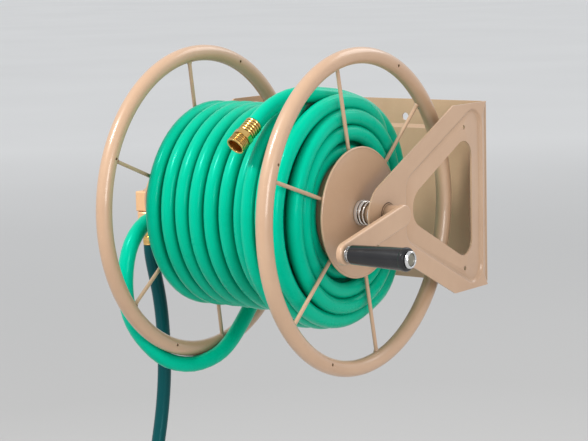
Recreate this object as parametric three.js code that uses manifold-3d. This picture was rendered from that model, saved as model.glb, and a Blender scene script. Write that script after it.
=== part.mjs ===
// Wall-mounted garden hose reel: a steel bracket, a tubular reel that spins on a water-carrying
// axle, a folded crank with a free-spinning grip, a wound hose and a hanging leader hose.
// Millimetres. The origin is the middle of the wall plate's back face: +Z up, +Y into the wall.
import * as THREE from "three";
import { mergeVertices } from "three/addons/utils/BufferGeometryUtils.js";
import Module from "manifold-3d";

const wasm = await Module();
wasm.setup();

// ---- driving dimensions --------------------------------------------------------------------------
const GAP = 0.3; // between neighbouring pieces
const SHEET = 2.5; // bracket sheet

const BRACKET_HALF_WIDTH = 193; // to the arms' outer faces
const PLATE_HALF_HEIGHT = 131;
const PLATE_ROUND = 6;
const PLATE_PANEL = { halfHeight: 94, halfWidth: 170, rise: 4, round: 12 }; // pressed forward middle
const PLATE_HOLE = { x: 55, z: 105, radius: 5.6 };

const AXLE_Y = -256; // axle distance from the wall
const REEL_X = 13.5; // middle of the reel along the axle
const ARM_NOSE_RADIUS = 44;
const ARM_TOP_LENGTH = 94; // straight top edge, measured from the wall
const ARM_WINDOW = { right: 211, slope: 0.51, start: 26, frontRound: 28.3, round: 22 };
const ARM_RECESS = { left: 45, right: 238, slope: 0.495, start: -37.4, round: 24, depth: 2.2 };
const ARM_HOLE = { y: 191, z: 99, radius: 3.3 };
const ARM_FLANGE = { width: 18, short: 6 }; // turned in along the wall plate, short of its ends

const RIM_PLANE = 134; // from the reel's middle to each rim
const RIM_RADIUS = 209;
const RIM_TUBE = 11;
const SPOKE_PHASE = { right: 18.5, left: 22 }; // degrees, first spoke above the front
const VENTS = 4; // small drain holes in each rim
const VENT_PHASE = { right: 23.6, left: 22.3 }; // degrees, first vent above the front
const VENT_RADIUS = 1.9;
const VENT_DEPTH = 3;
const VENT_OFFSET = 1; // towards the axle from the top of the tube
const SPOKES = 6;
const SPOKE_RADIUS = 2.7;
const SPOKE_INNER = 75;
const DISC_RADIUS = 88.4;
const DISC_SHEET = 2.5;
const DISC_BEVEL = 0.8;
const DRUM_RADIUS = 72;
const DRUM_WALL = 2;

const AXLE_RADIUS = 13;
const AXLE_BORE = 10.4;
const BUSH_RADIUS = 16;
const BUSH_PROUD = 0.8; // past the arm's outer face
const BUSH_FLANGE = { radius: 21, thickness: 3 };
const ARM_BORE = BUSH_RADIUS + GAP;

const SPRING = { radius: 14.9, wire: 1.5, coils: 6, length: 32.5 };
const COLLAR = { radius: 17, thickness: 5 };

const CRANK = { reach: 133, drop: 32.5, halfWidth: 14.5, depth: 8, sheet: 2.4, face: 207 };
const GRIP = { length: 86, inner: 12.4, outer: 15.2, bore: 4.6 };
const GRIP_WASHER = { radius: 10, thickness: 5.4 };
const BOLT_RADIUS = 4;
const CAP = { radius: 11.2, height: 4.6 };
const GRIP_NUT = { radius: 8, thickness: 5 };

const WATERWAY = 7; // radius of the bores that carry water
const INLET = { size: 29, left: -249.5, drop: 5.4, bevel: 1.6, socket: 9 };
const INLET_NECK = { radius: 17, start: 20, end: 38 }; // from the block's outer end
const INLET_PLUG = { radius: 6, proud: 1.2, depth: 4 };
const LEADER_NUT = { radius: 19, height: 22, chamfer: 4, slope: 3 };
const LEADER_FERRULE = { radius: 10.6, crimp: 11, tail: 8.5, bore: 6, bottom: -69 };
const END_COUPLING = {
  sleeve: 11.5,
  sleeveEnd: 14,
  nut: 15,
  nutStart: 18,
  mouth: 12.5,
  mouthStart: 26,
  end: 40,
};
const LEADER_RADIUS = 10;
const LEADER_X = -236; // from the reel's middle

const PAST = 20; // how far a cutting solid reaches past the sheet it cuts

const OUTLET_X = -166; // hub outlet, between the left disc and the left arm
const OUTLET_ANGLE = 14; // degrees below the front
const HOSE_RADIUS = 11;
const SLEEVE = { groove: 11.2, rib: 12, pitch: 4.2, ribs: 5 };
const FITTING = {
  band: 13.4,
  bandStart: 22,
  bandEnd: 29.5,
  front: 12.9,
  frontStart: 31,
  mouth: 10.5,
  mouthStart: 30,
  end: 44,
};
const PACK = { halfLength: 123.3, step: 50, leftRadius: 143.5, rightRadius: 161.5 };
const OVER = PACK.rightRadius + HOSE_RADIUS + 2.1; // hose axis where it lies on the pack

// ---- colours and finishes ------------------------------------------------------------------------
const finish = (color, roughness, metalness) =>
  new THREE.MeshStandardMaterial({ color, roughness, metalness });
const TAN = finish(0xc9a384, 0.45, 0.1);
const CHROME = finish(0xd8d8d8, 0.15, 1);
const BRASS = finish(0xc99a3a, 0.3, 1);
const BLACK = finish(0x1c1c1e, 0.3, 0);
const NYLON = finish(0xcdb59a, 0.6, 0);
const GREEN = finish(0x00b48c, 0.45, 0);
const TEAL = finish(0x1b555a, 0.5, 0);

// ---- solids --------------------------------------------------------------------------------------
function solid(geometry) {
  const plain = geometry.index ? geometry.toNonIndexed() : geometry.clone();
  plain.deleteAttribute("normal");
  plain.deleteAttribute("uv");
  const merged = mergeVertices(plain, 1e-3);
  const make = (triVerts) =>
    new wasm.Manifold(
      new wasm.Mesh({
        numProp: 3,
        vertProperties: new Float32Array(merged.attributes.position.array),
        triVerts,
      }),
    );
  const triangles = new Uint32Array(merged.index.array);
  const made = make(triangles);
  if (made.volume() > 0) return made;
  for (let i = 0; i < triangles.length; i += 3) {
    [triangles[i + 1], triangles[i + 2]] = [triangles[i + 2], triangles[i + 1]];
  }
  return make(triangles);
}

const object = new THREE.Group();
const bracket = new THREE.Group();
const reel = new THREE.Group();
const leader = new THREE.Group();
object.add(bracket, reel, leader);

function place(group, name, made, material) {
  const mesh = made.getMesh();
  const geometry = new THREE.BufferGeometry();
  geometry.setAttribute("position", new THREE.BufferAttribute(mesh.vertProperties, 3));
  geometry.setIndex(new THREE.BufferAttribute(mesh.triVerts, 1));
  geometry.computeVertexNormals();
  const part = new THREE.Mesh(geometry, material);
  part.name = name;
  group.add(part);
}

// The plane of an outline is Y-Z, and it is extruded along X from x0 to x1.
const OUTLINE_TO_WORLD = new THREE.Matrix4().set(0, 0, 1, 0, 1, 0, 0, 0, 0, 1, 0, 0, 0, 0, 0, 1);

function alongX(shape, x0, x1, segments = 6) {
  const settings = { depth: x1 - x0, bevelEnabled: false, curveSegments: segments };
  const geometry = new THREE.ExtrudeGeometry(shape, settings);
  return solid(geometry.applyMatrix4(OUTLINE_TO_WORLD).translate(x0, 0, 0));
}

// A profile of [radius, x] points is turned about the axle's direction through (y, z).
function turned(profile, y, z, segments = 32) {
  const points = profile.map(([radius, x]) => new THREE.Vector2(radius, x));
  const geometry = new THREE.LatheGeometry(points, segments);
  return solid(geometry.rotateZ(-Math.PI / 2).translate(0, y, z));
}

// A profile of [radius, along] points is turned about any direction, from a start point.
function turnedAlong(profile, start, direction, segments = 24) {
  const points = profile.map(([radius, along]) => new THREE.Vector2(radius, along));
  const turn = new THREE.Quaternion().setFromUnitVectors(
    new THREE.Vector3(0, 1, 0),
    direction.clone().normalize(),
  );
  const geometry = new THREE.LatheGeometry(points, segments).applyQuaternion(turn);
  return solid(geometry.translate(start.x, start.y, start.z));
}

const rod = (radius, start, end, segments = 12) =>
  turnedAlong(
    [[0, 0], [radius, 0], [radius, start.distanceTo(end)], [0, start.distanceTo(end)]],
    start,
    end.clone().sub(start),
    segments,
  );

const cylinder = (radius, x0, x1) => [[0, x0], [radius, x0], [radius, x1], [0, x1]];

const ring = (inner, outer, x0, x1) => [
  [inner, x0],
  [outer, x0],
  [outer, x1],
  [inner, x1],
  [inner, x0],
];

function circleOutline(radius, y = 0, z = 0) {
  return new THREE.Shape().absarc(y, z, radius, 0, 2 * Math.PI, false);
}

// A round section with flat sides is drawn along a curve.
function tubeAlong(curve, radius, steps, sides) {
  const section = new THREE.Shape();
  for (let i = 0; i < sides; i++) {
    const angle = (2 * Math.PI * i) / sides;
    const corner = [radius * Math.cos(angle), radius * Math.sin(angle)];
    if (i === 0) section.moveTo(...corner);
    else section.lineTo(...corner);
  }
  section.closePath();
  const settings = { steps, bevelEnabled: false, extrudePath: curve };
  return solid(new THREE.ExtrudeGeometry(section, settings));
}

const smooth = (points) => new THREE.CatmullRomCurve3(points, false, "centripetal");

// A point on the reel: x from its middle, radius from the axle, degrees above the front.
function onReel(x, radius, degrees) {
  const angle = THREE.MathUtils.degToRad(degrees);
  return new THREE.Vector3(
    REEL_X + x,
    AXLE_Y - radius * Math.cos(angle),
    radius * Math.sin(angle),
  );
}

const reelPoint = ([x, y, z]) => new THREE.Vector3(REEL_X + x, AXLE_Y + y, z);

// ---- wall plate ----------------------------------------------------------------------------------
function rectangle(halfWidth, halfHeight, round) {
  const shape = new THREE.Shape();
  shape.absarc(halfWidth - round, halfHeight - round, round, 0, Math.PI / 2, false);
  shape.absarc(round - halfWidth, halfHeight - round, round, Math.PI / 2, Math.PI, false);
  shape.absarc(round - halfWidth, round - halfHeight, round, Math.PI, 1.5 * Math.PI, false);
  shape.absarc(halfWidth - round, round - halfHeight, round, 1.5 * Math.PI, 2 * Math.PI, false);
  return shape;
}

// An X-Z outline, extruded from the wall side forwards, with an optional sloping edge.
function forwards(shape, y0, depth, slope = 0, segments = 4) {
  const settings = {
    depth: depth - slope,
    bevelEnabled: slope > 0,
    bevelThickness: slope,
    bevelSize: slope,
    bevelOffset: -slope,
    bevelSegments: 1,
    curveSegments: segments,
  };
  const geometry = new THREE.ExtrudeGeometry(shape, settings);
  return solid(geometry.rotateX(Math.PI / 2).translate(0, y0, 0));
}

function wallPlate() {
  const { halfHeight, halfWidth, rise, round } = PLATE_PANEL;
  const inside = BRACKET_HALF_WIDTH - SHEET - GAP;
  const front = forwards(rectangle(halfWidth, halfHeight, round), 0, SHEET + rise, rise);
  const hollow = rectangle(halfWidth - SHEET, halfHeight - SHEET, round - 2);
  const back = forwards(hollow, rise, 2 * rise, rise);
  const sheet = rectangle(inside, PLATE_HALF_HEIGHT, PLATE_ROUND);
  const wall = forwards(rectangle(BRACKET_HALF_WIDTH, PLATE_HALF_HEIGHT, PLATE_ROUND), PAST, PAST);
  let plate = forwards(sheet, 0, SHEET);
  plate = plate.add(front).subtract(back).subtract(wall);
  for (const side of [-1, 1]) {
    for (const level of [-1, 1]) {
      const hole = new THREE.Vector3(side * PLATE_HOLE.x, PAST, level * PLATE_HOLE.z);
      const through = hole.clone().setY(-PAST);
      plate = plate.subtract(rod(PLATE_HOLE.radius, hole, through, 20));
    }
  }
  return plate;
}

place(bracket, "wall_plate", wallPlate(), TAN);

// ---- side arms -----------------------------------------------------------------------------------
// Outlines of the arm have their origin at the axle, with the wall at WALL.
const WALL = -AXLE_Y;

function armOutline() {
  const top = WALL - ARM_TOP_LENGTH;
  const far = Math.hypot(top, PLATE_HALF_HEIGHT);
  const tangent = Math.atan2(PLATE_HALF_HEIGHT, top) + Math.acos(ARM_NOSE_RADIUS / far);
  const shape = new THREE.Shape();
  shape.absarc(0, 0, ARM_NOSE_RADIUS, tangent, 2 * Math.PI - tangent, false);
  shape.lineTo(top, -PLATE_HALF_HEIGHT);
  shape.lineTo(WALL, -PLATE_HALF_HEIGHT);
  shape.lineTo(WALL, PLATE_HALF_HEIGHT);
  shape.lineTo(top, PLATE_HALF_HEIGHT);
  shape.closePath();
  return shape;
}

// A triangle with its point to the front and three round corners, level with the axle.
function windowOutline() {
  const { right, slope, start, frontRound, round } = ARM_WINDOW;
  const lean = Math.atan(slope);
  const tipY = start + frontRound / Math.sin(lean);
  const cornerY = right - round;
  const cornerZ = slope * (cornerY - start) - round / Math.cos(lean);
  const shape = new THREE.Shape();
  shape.absarc(tipY, 0, frontRound, Math.PI / 2 + lean, 1.5 * Math.PI - lean);
  shape.absarc(cornerY, -cornerZ, round, 1.5 * Math.PI - lean, 2 * Math.PI);
  shape.absarc(cornerY, cornerZ, round, 0, Math.PI / 2 + lean);
  shape.closePath();
  return shape;
}

// The recess's front end is cut square by a long arc, so its outline has five sides.
function recessOutline(inset = 0) {
  const { left, right, slope, start, round } = ARM_RECESS;
  const lean = Math.atan(slope);
  const radius = round - inset;
  const nearY = left + round;
  const farY = right - round;
  const heightAt = (y) => slope * (y - start) - round / Math.cos(lean);
  const shape = new THREE.Shape();
  shape.absarc(nearY, heightAt(nearY), radius, Math.PI / 2 + lean, Math.PI);
  shape.absarc(nearY, -heightAt(nearY), radius, Math.PI, 1.5 * Math.PI - lean);
  shape.absarc(farY, -heightAt(farY), radius, 1.5 * Math.PI - lean, 2 * Math.PI);
  shape.absarc(farY, heightAt(farY), radius, 0, Math.PI / 2 + lean);
  shape.closePath();
  return shape;
}

// The right arm, with its outer face at x = BRACKET_HALF_WIDTH.
function rightArm() {
  const outer = BRACKET_HALF_WIDTH;
  const { depth } = ARM_RECESS;
  let arm = alongX(armOutline(), outer - SHEET, outer, 10);
  arm = arm.add(alongX(recessOutline(-SHEET), outer - SHEET - depth, outer - SHEET + 1, 5));
  arm = arm.subtract(alongX(recessOutline(), outer - depth, outer + 1, 5));
  arm = arm.subtract(alongX(windowOutline(), outer - PAST, outer + PAST, 5));
  arm = arm.subtract(alongX(circleOutline(ARM_BORE), outer - PAST, outer + PAST, 20));
  for (const level of [-1, 1]) {
    const hole = circleOutline(ARM_HOLE.radius, ARM_HOLE.y, level * ARM_HOLE.z);
    arm = arm.subtract(alongX(hole, outer - PAST, outer + PAST, 8));
  }
  const plateFront = WALL - SHEET - GAP;
  const flangeEnd = PLATE_HALF_HEIGHT - ARM_FLANGE.short;
  const flange = new THREE.Shape()
    .moveTo(plateFront - SHEET, -flangeEnd)
    .lineTo(plateFront, -flangeEnd)
    .lineTo(plateFront, flangeEnd)
    .lineTo(plateFront - SHEET, flangeEnd);
  arm = arm.add(alongX(flange, outer - ARM_FLANGE.width, outer - SHEET + 1));
  return arm.translate(0, AXLE_Y, 0);
}

const arm = rightArm();
place(bracket, "side_arm_right", arm, TAN);
place(bracket, "side_arm_left", arm.mirror([1, 0, 0]), TAN);

// ---- bearing bushes ------------------------------------------------------------------------------
function bush(side) {
  const inner = AXLE_RADIUS + GAP;
  const outside = BRACKET_HALF_WIDTH + BUSH_PROUD;
  const flange = BRACKET_HALF_WIDTH - SHEET - GAP;
  const inside = flange - BUSH_FLANGE.thickness;
  const profile = [
    [inner, outside],
    [BUSH_RADIUS, outside],
    [BUSH_RADIUS, flange],
    [BUSH_FLANGE.radius, flange],
    [BUSH_FLANGE.radius, inside],
    [inner, inside],
    [inner, outside],
  ];
  return turned(profile.map(([radius, x]) => [radius, side * x]), AXLE_Y, 0);
}

place(bracket, "bearing_bush_right", bush(1), NYLON);
place(bracket, "bearing_bush_left", bush(-1), NYLON);

// ---- reel ----------------------------------------------------------------------------------------
const SIDES = { right: 1, left: -1 };
const TUBE_SIDES = 10; // flat sides that a tube's or a hose's round section is drawn with

function rim(side, phase) {
  const plane = REEL_X + side * RIM_PLANE;
  const profile = [];
  for (let i = 0; i <= TUBE_SIDES; i++) {
    const angle = (2 * Math.PI * i) / TUBE_SIDES;
    profile.push([RIM_RADIUS + RIM_TUBE * Math.cos(angle), plane + RIM_TUBE * Math.sin(angle)]);
  }
  let made = turned(profile, AXLE_Y, 0, 52);
  const face = side * RIM_PLANE + RIM_TUBE;
  for (let i = 0; i < VENTS; i++) {
    const degrees = phase + (i * 360) / VENTS;
    const deep = onReel(face - VENT_DEPTH, RIM_RADIUS - VENT_OFFSET, degrees);
    const out = onReel(face + VENT_DEPTH, RIM_RADIUS - VENT_OFFSET, degrees);
    made = made.subtract(rod(VENT_RADIUS, deep, out, 8));
  }
  return made;
}

function hubDisc(side) {
  const inner = side * (RIM_PLANE - DISC_SHEET / 2);
  const outer = side * (RIM_PLANE + DISC_SHEET / 2);
  const bore = AXLE_RADIUS + GAP;
  const bevel = side * DISC_BEVEL;
  const profile = [
    [bore, REEL_X + inner],
    [DISC_RADIUS - DISC_BEVEL, REEL_X + inner],
    [DISC_RADIUS, REEL_X + inner + bevel],
    [DISC_RADIUS, REEL_X + outer - bevel],
    [DISC_RADIUS - DISC_BEVEL, REEL_X + outer],
    [bore, REEL_X + outer],
    [bore, REEL_X + inner],
  ];
  return turned(profile, AXLE_Y, 0, 56);
}

// A spoke lies against the disc's inner face and ends at the rim's tube.
function spoke(side, degrees) {
  const x = side * (RIM_PLANE - DISC_SHEET / 2 - GAP - SPOKE_RADIUS);
  const outer = RIM_RADIUS - RIM_TUBE - GAP;
  return rod(SPOKE_RADIUS, onReel(x, SPOKE_INNER, degrees), onReel(x, outer, degrees), 8);
}

for (const [name, side] of Object.entries(SIDES)) {
  place(reel, `rim_${name}`, rim(side, VENT_PHASE[name]), TAN);
  place(reel, `hub_disc_${name}`, hubDisc(side), TAN);
  for (let i = 0; i < SPOKES; i++) {
    const degrees = SPOKE_PHASE[name] + (i * 360) / SPOKES;
    place(reel, `spoke_${name}_${i + 1}`, spoke(side, degrees), TAN);
  }
}

const DRUM_END = RIM_PLANE - DISC_SHEET / 2 - GAP;
const drum = ring(DRUM_RADIUS - DRUM_WALL, DRUM_RADIUS, REEL_X - DRUM_END, REEL_X + DRUM_END);
place(reel, "drum", turned(drum, AXLE_Y, 0, 48), TAN);

// The axle is a water pipe: open at the inlet end, closed past the outlet, with a side hole
// where the outlet stub joins it.
const AXLE_LEFT = REEL_X + INLET.left + INLET.socket;
const BORE_END = REEL_X + OUTLET_X + PAST;
const AXLE_RIGHT = REEL_X + CRANK.face - CRANK.sheet - GAP;

function axle() {
  const profile = [
    [0, AXLE_RIGHT],
    [AXLE_RADIUS, AXLE_RIGHT],
    [AXLE_RADIUS, AXLE_LEFT],
    [AXLE_BORE, AXLE_LEFT],
    [AXLE_BORE, BORE_END],
    [0, BORE_END],
  ];
  const pipe = turned(profile, AXLE_Y, 0);
  const sideHole = rod(WATERWAY, onReel(OUTLET_X, 0, 0), onReel(OUTLET_X, PAST, -OUTLET_ANGLE), 16);
  return pipe.subtract(sideHole);
}

place(reel, "axle_pipe", axle(), TAN);

const outletWay = onReel(OUTLET_X, 1, -OUTLET_ANGLE).sub(onReel(OUTLET_X, 0, 0));

// Distances from the axle's middle along the outlet.
const STUB = { start: 14, neck: 11, shoulder: 26, radius: 13, end: 38 };
const COUPLING = { start: STUB.end + 0.4, nut: 17, nutEnd: 56, taper: 59, tail: 12.5, end: 79.5 };

function outletStub() {
  const { start, neck, shoulder, radius, end } = STUB;
  const profile = [
    [WATERWAY, start],
    [neck, start],
    [neck, shoulder],
    [radius, shoulder + 1],
    [radius, end],
    [WATERWAY, end],
    [WATERWAY, start],
  ];
  const stub = turnedAlong(profile, onReel(OUTLET_X, 0, 0), outletWay);
  const middle = REEL_X + OUTLET_X;
  const clear = cylinder(AXLE_RADIUS + GAP, middle - PAST, middle + PAST);
  return stub.subtract(turned(clear, AXLE_Y, 0));
}

function hoseInletCoupling() {
  const { start, nut, nutEnd, taper, tail, end } = COUPLING;
  const profile = [
    [WATERWAY, start],
    [nut, start],
    [nut, nutEnd],
    [nut - (taper - nutEnd), taper],
    [tail, taper + 1],
    [tail, end],
    [WATERWAY, end],
    [WATERWAY, start],
  ];
  return turnedAlong(profile, onReel(OUTLET_X, 0, 0), outletWay, 24);
}

place(reel, "axle_outlet_stub", outletStub(), BRASS);
place(reel, "hose_inlet_coupling", hoseInletCoupling(), BRASS);

// ---- spring and collar between the right disc and the right arm ----------------------------------
const COLLAR_X = REEL_X + RIM_PLANE + DISC_SHEET / 2 + GAP;
const SPRING_X = COLLAR_X + COLLAR.thickness + GAP;
const collar = ring(AXLE_RADIUS + GAP, COLLAR.radius, COLLAR_X, COLLAR_X + COLLAR.thickness);
place(reel, "spring_collar", turned(collar, AXLE_Y, 0, 28), CHROME);

class Helix extends THREE.Curve {
  getPoint(t, target = new THREE.Vector3()) {
    const angle = 2 * Math.PI * SPRING.coils * t;
    const x = SPRING_X + SPRING.wire + (SPRING.length - 2 * SPRING.wire) * t;
    return target.set(
      x,
      AXLE_Y + SPRING.radius * Math.cos(angle),
      SPRING.radius * Math.sin(angle),
    );
  }
}

const spring = tubeAlong(new Helix(), SPRING.wire, 14 * SPRING.coils, 6);
place(reel, "axle_spring", spring, CHROME);

// ---- crank ---------------------------------------------------------------------------------------
const CRANK_LENGTH = Math.hypot(CRANK.reach, CRANK.drop);
const CRANK_DIP = Math.asin(CRANK.drop / CRANK_LENGTH);
const PIVOT = reelPoint([0, -CRANK.reach, -CRANK.drop]);

// A long rounded bar from the axle to the pivot of the grip.
function crankOutline(inset) {
  const radius = CRANK.halfWidth - inset;
  const up = Math.PI / 2 + CRANK_DIP;
  const shape = new THREE.Shape();
  shape.absarc(0, 0, radius, up + Math.PI, up + 2 * Math.PI, false);
  shape.absarc(-CRANK.reach, -CRANK.drop, radius, up, up + Math.PI, false);
  shape.closePath();
  return shape;
}

function crankArm() {
  const face = REEL_X + CRANK.face;
  let made = alongX(crankOutline(0), face - CRANK.depth, face, 12);
  const back = face - CRANK.depth - 1;
  const pocket = alongX(crankOutline(CRANK.sheet), back, face - CRANK.sheet, 12);
  const seat = alongX(circleOutline(AXLE_RADIUS + GAP), back, face - CRANK.sheet, 16);
  made = made.subtract(pocket).subtract(seat);
  const hole = circleOutline(BOLT_RADIUS + GAP, -CRANK.reach, -CRANK.drop);
  return made.subtract(alongX(hole, face - PAST, face + PAST, 12)).translate(0, AXLE_Y, 0);
}

place(reel, "crank_arm", crankArm(), TAN);

// ---- grip, with its bolt, washer and nut ---------------------------------------------------------
const WASHER_X = REEL_X + CRANK.face + GAP;
const GRIP_X = WASHER_X + GRIP_WASHER.thickness + GAP;
const GRIP_END = GRIP_X + GRIP.length;
const NUT_X = REEL_X + CRANK.face - CRANK.sheet - GAP;

const washerEnd = WASHER_X + GRIP_WASHER.thickness;
const washer = ring(BOLT_RADIUS + GAP, GRIP_WASHER.radius, WASHER_X, washerEnd);
place(reel, "grip_washer", turned(washer, PIVOT.y, PIVOT.z, 24), CHROME);

const gripProfile = [
  [GRIP.bore, GRIP_X],
  [GRIP.inner - 1.6, GRIP_X],
  [GRIP.inner, GRIP_X + 2],
  [GRIP.outer, GRIP_END - 5],
  [GRIP.outer - 0.6, GRIP_END - 2],
  [GRIP.outer - 3, GRIP_END],
  [GRIP.bore, GRIP_END],
  [GRIP.bore, GRIP_X],
];
place(reel, "crank_grip", turned(gripProfile, PIVOT.y, PIVOT.z, 28), BLACK);

const CAP_X = GRIP_END + GAP;
const BOLT_START = NUT_X - GRIP_NUT.thickness - 1;
const boltProfile = [
  [0, BOLT_START],
  [BOLT_RADIUS, BOLT_START],
  [BOLT_RADIUS, CAP_X],
  [CAP.radius, CAP_X],
  [CAP.radius, CAP_X + 2],
  [CAP.radius - 1.6, CAP_X + 4],
  [CAP.radius - 5, CAP_X + CAP.height],
  [0, CAP_X + CAP.height],
];
place(reel, "grip_bolt", turned(boltProfile, PIVOT.y, PIVOT.z, 24), CHROME);

function gripNut() {
  const inner = NUT_X - GRIP_NUT.thickness;
  const profile = [[0, inner], [GRIP_NUT.radius, inner], [GRIP_NUT.radius, NUT_X], [0, NUT_X]];
  const ends = [PIVOT.clone().setX(inner - 1), PIVOT.clone().setX(NUT_X + 1)];
  const bore = rod(BOLT_RADIUS + GAP, ...ends, 20);
  return turned(profile, PIVOT.y, PIVOT.z, 6).subtract(bore);
}

place(reel, "grip_nut", gripNut(), CHROME);

// ---- inlet swivel --------------------------------------------------------------------------------
const INLET_LEFT = REEL_X + INLET.left;
const INLET_BOTTOM = -INLET.drop - INLET.size / 2;

function inletSwivel() {
  const half = INLET.size / 2;
  const { bevel } = INLET;
  const shape = new THREE.Shape()
    .moveTo(-half + bevel, -half)
    .lineTo(half - bevel, -half)
    .lineTo(half, -half + bevel)
    .lineTo(half, half - bevel)
    .lineTo(half - bevel, half)
    .lineTo(-half + bevel, half)
    .lineTo(-half, half - bevel)
    .lineTo(-half, -half + bevel);
  const block = alongX(shape, INLET_LEFT, INLET_LEFT + INLET.size).translate(0, AXLE_Y, -INLET.drop);
  const { radius, start, end } = INLET_NECK;
  const neck = turned(cylinder(radius, INLET_LEFT + start, INLET_LEFT + end), AXLE_Y, 0);
  const plugEnds = [INLET_LEFT - INLET_PLUG.proud, INLET_LEFT + INLET_PLUG.depth];
  const plug = turned(cylinder(INLET_PLUG.radius, ...plugEnds), AXLE_Y, -INLET.drop, 12);
  const bore = cylinder(AXLE_RADIUS + GAP, AXLE_LEFT - GAP, INLET_LEFT + end + PAST);
  const socket = turned(bore, AXLE_Y, 0);
  const mouth = reelPoint([LEADER_X, 0, INLET_BOTTOM - PAST]);
  const waterway = rod(WATERWAY, reelPoint([LEADER_X, 0, -4]), mouth, 16);
  return block.add(neck).add(plug).subtract(socket).subtract(waterway);
}

place(bracket, "inlet_swivel", inletSwivel(), BRASS);

// ---- leader hose ---------------------------------------------------------------------------------
const DOWN = new THREE.Vector3(0, 0, -1);
const NUT_TOP = INLET_BOTTOM - GAP;

function leaderNut() {
  const { radius, height, chamfer, slope } = LEADER_NUT;
  const profile = [
    [WATERWAY, 0],
    [radius, 0],
    [radius, height - slope],
    [radius - chamfer, height],
    [WATERWAY, height],
    [WATERWAY, 0],
  ];
  return turnedAlong(profile, reelPoint([LEADER_X, 0, NUT_TOP]), DOWN, 24);
}

function leaderFerrule() {
  const top = NUT_TOP - LEADER_NUT.height - GAP;
  const length = top - LEADER_FERRULE.bottom;
  const { radius, crimp, tail, bore } = LEADER_FERRULE;
  const profile = [
    [bore, 0],
    [tail, 0],
    [tail, length - crimp - 1],
    [radius, length - crimp],
    [radius, length],
    [bore, length],
    [bore, 0],
  ];
  return turnedAlong(profile, reelPoint([LEADER_X, 0, top]), DOWN, 20);
}

place(leader, "leader_swivel_nut", leaderNut(), BRASS);
place(leader, "leader_ferrule", leaderFerrule(), BRASS);

// The leader hangs from the swivel beside the reel, then its spare length is a tied round coil.
// Points are [x, y, z] from the reel's middle, as are the coil's places.
const LEADER_ROUTE = [
  [LEADER_X, 0, -69.6],
  [LEADER_X, 0.4, -80],
  [LEADER_X, 3.5, -97],
  [LEADER_X, 9, -119],
  [LEADER_X, 15, -144],
  [LEADER_X, 19.5, -172],
  [LEADER_X, 22, -202],
  [LEADER_X, 22.8, -232],
  [LEADER_X, 21.8, -262],
  [LEADER_X, 18, -296],
  [LEADER_X, 11.5, -330],
  [LEADER_X, 3, -364],
  [LEADER_X, -5.5, -398],
  [LEADER_X, -16.6, -441],
];
const leaderCurve = smooth(LEADER_ROUTE.map(reelPoint));
place(leader, "leader_hose", tubeAlong(leaderCurve, LEADER_RADIUS, 16, TUBE_SIDES), TEAL);

const COIL = { radius: 105, y: -135.7, z: -484.7, lane: 20.6, tailLane: 46.3 };
const COIL_ENTRY = -14.5; // degrees above the wall side, where the leader joins the coil
const COIL_TAIL = { from: 505, to: 573 }; // degrees wound when the tail leaves and ends

// A point on a turn of the coil, after the hose has wound so many degrees downwards.
function onCoil(lane, wound) {
  const angle = THREE.MathUtils.degToRad(COIL_ENTRY - wound);
  const y = COIL.y + COIL.radius * Math.cos(angle);
  const z = COIL.z + COIL.radius * Math.sin(angle);
  return reelPoint([LEADER_X + lane, y, z]);
}

// The coil's section is a slot with round ends, around two turns side by side.
const SLOT_CORNERS = 12;
const coilSection = [];
for (let i = 0; i < SLOT_CORNERS; i++) {
  const angle = (2 * Math.PI * (i + 0.5)) / SLOT_CORNERS;
  const middle = REEL_X + LEADER_X + (i < SLOT_CORNERS / 2 ? COIL.lane : 0);
  const x = middle + LEADER_RADIUS * Math.sin(angle);
  coilSection.push([COIL.radius + LEADER_RADIUS * Math.cos(angle), x]);
}
coilSection.push(coilSection[0]);
place(leader, "leader_coil", turned(coilSection, AXLE_Y + COIL.y, COIL.z, 32), TEAL);

const TAIL_STEPS = 6;
const tailRoute = [];
for (let i = 0; i <= TAIL_STEPS; i++) {
  const t = i / TAIL_STEPS;
  const wound = THREE.MathUtils.lerp(COIL_TAIL.from, COIL_TAIL.to, t);
  tailRoute.push(onCoil(THREE.MathUtils.lerp(2 * COIL.lane + 0.5, COIL.tailLane, t), wound));
}
const tailCurve = smooth(tailRoute);
place(leader, "leader_hose_tail", tubeAlong(tailCurve, LEADER_RADIUS, 8, TUBE_SIDES), TEAL);

function leaderEndCoupling() {
  const { sleeve, sleeveEnd, nut, nutStart, mouth, mouthStart, end } = END_COUPLING;
  const profile = [
    [WATERWAY, GAP],
    [sleeve, GAP],
    [sleeve, sleeveEnd],
    [sleeve + 1.5, nutStart - 2],
    [nut, nutStart],
    [nut, end],
    [mouth, end],
    [mouth, mouthStart],
    [WATERWAY, mouthStart],
    [WATERWAY, GAP],
  ];
  return turnedAlong(profile, tailRoute.at(-1), tailCurve.getTangent(1), 20);
}

place(leader, "leader_end_coupling", leaderEndCoupling(), BRASS);

// ---- hose on the reel ----------------------------------------------------------------------------
// From the hub outlet the hose goes down outside the left rim, crosses under it and comes up
// inside it to the winding.
const LOOP_ROUTE = [
  [OUTLET_X, -77.8, -19.4],
  [OUTLET_X, -90, -22.6],
  [OUTLET_X, -107, -33],
  [OUTLET_X, -122, -50],
  [OUTLET_X, -131, -71],
  [OUTLET_X, -135.5, -97],
  [OUTLET_X, -134.5, -124],
  [-165.5, -127.5, -150],
];
const LOOP_JOIN = [
  [-163.5, 207, -56],
  [-158.5, 215.5, -61],
  [-151.5, 224, -65.8],
  [-143, 230.2, -70.6],
  [-134, 231.8, -75.2],
  [-125.5, 230, -79.8],
  [-117.7, 224.4, -84.6],
  [-112.6, 217, -89.6],
  [-110.6, 207.5, -94.8],
  [-110.6, 196, -100.8],
  [-110.8, 184.5, -107.5],
  [-111.2, 174, -115.5],
  [-111.6, 165.5, -125],
  [-112, 160.5, -136],
  [-112, 158, -148],
];
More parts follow.
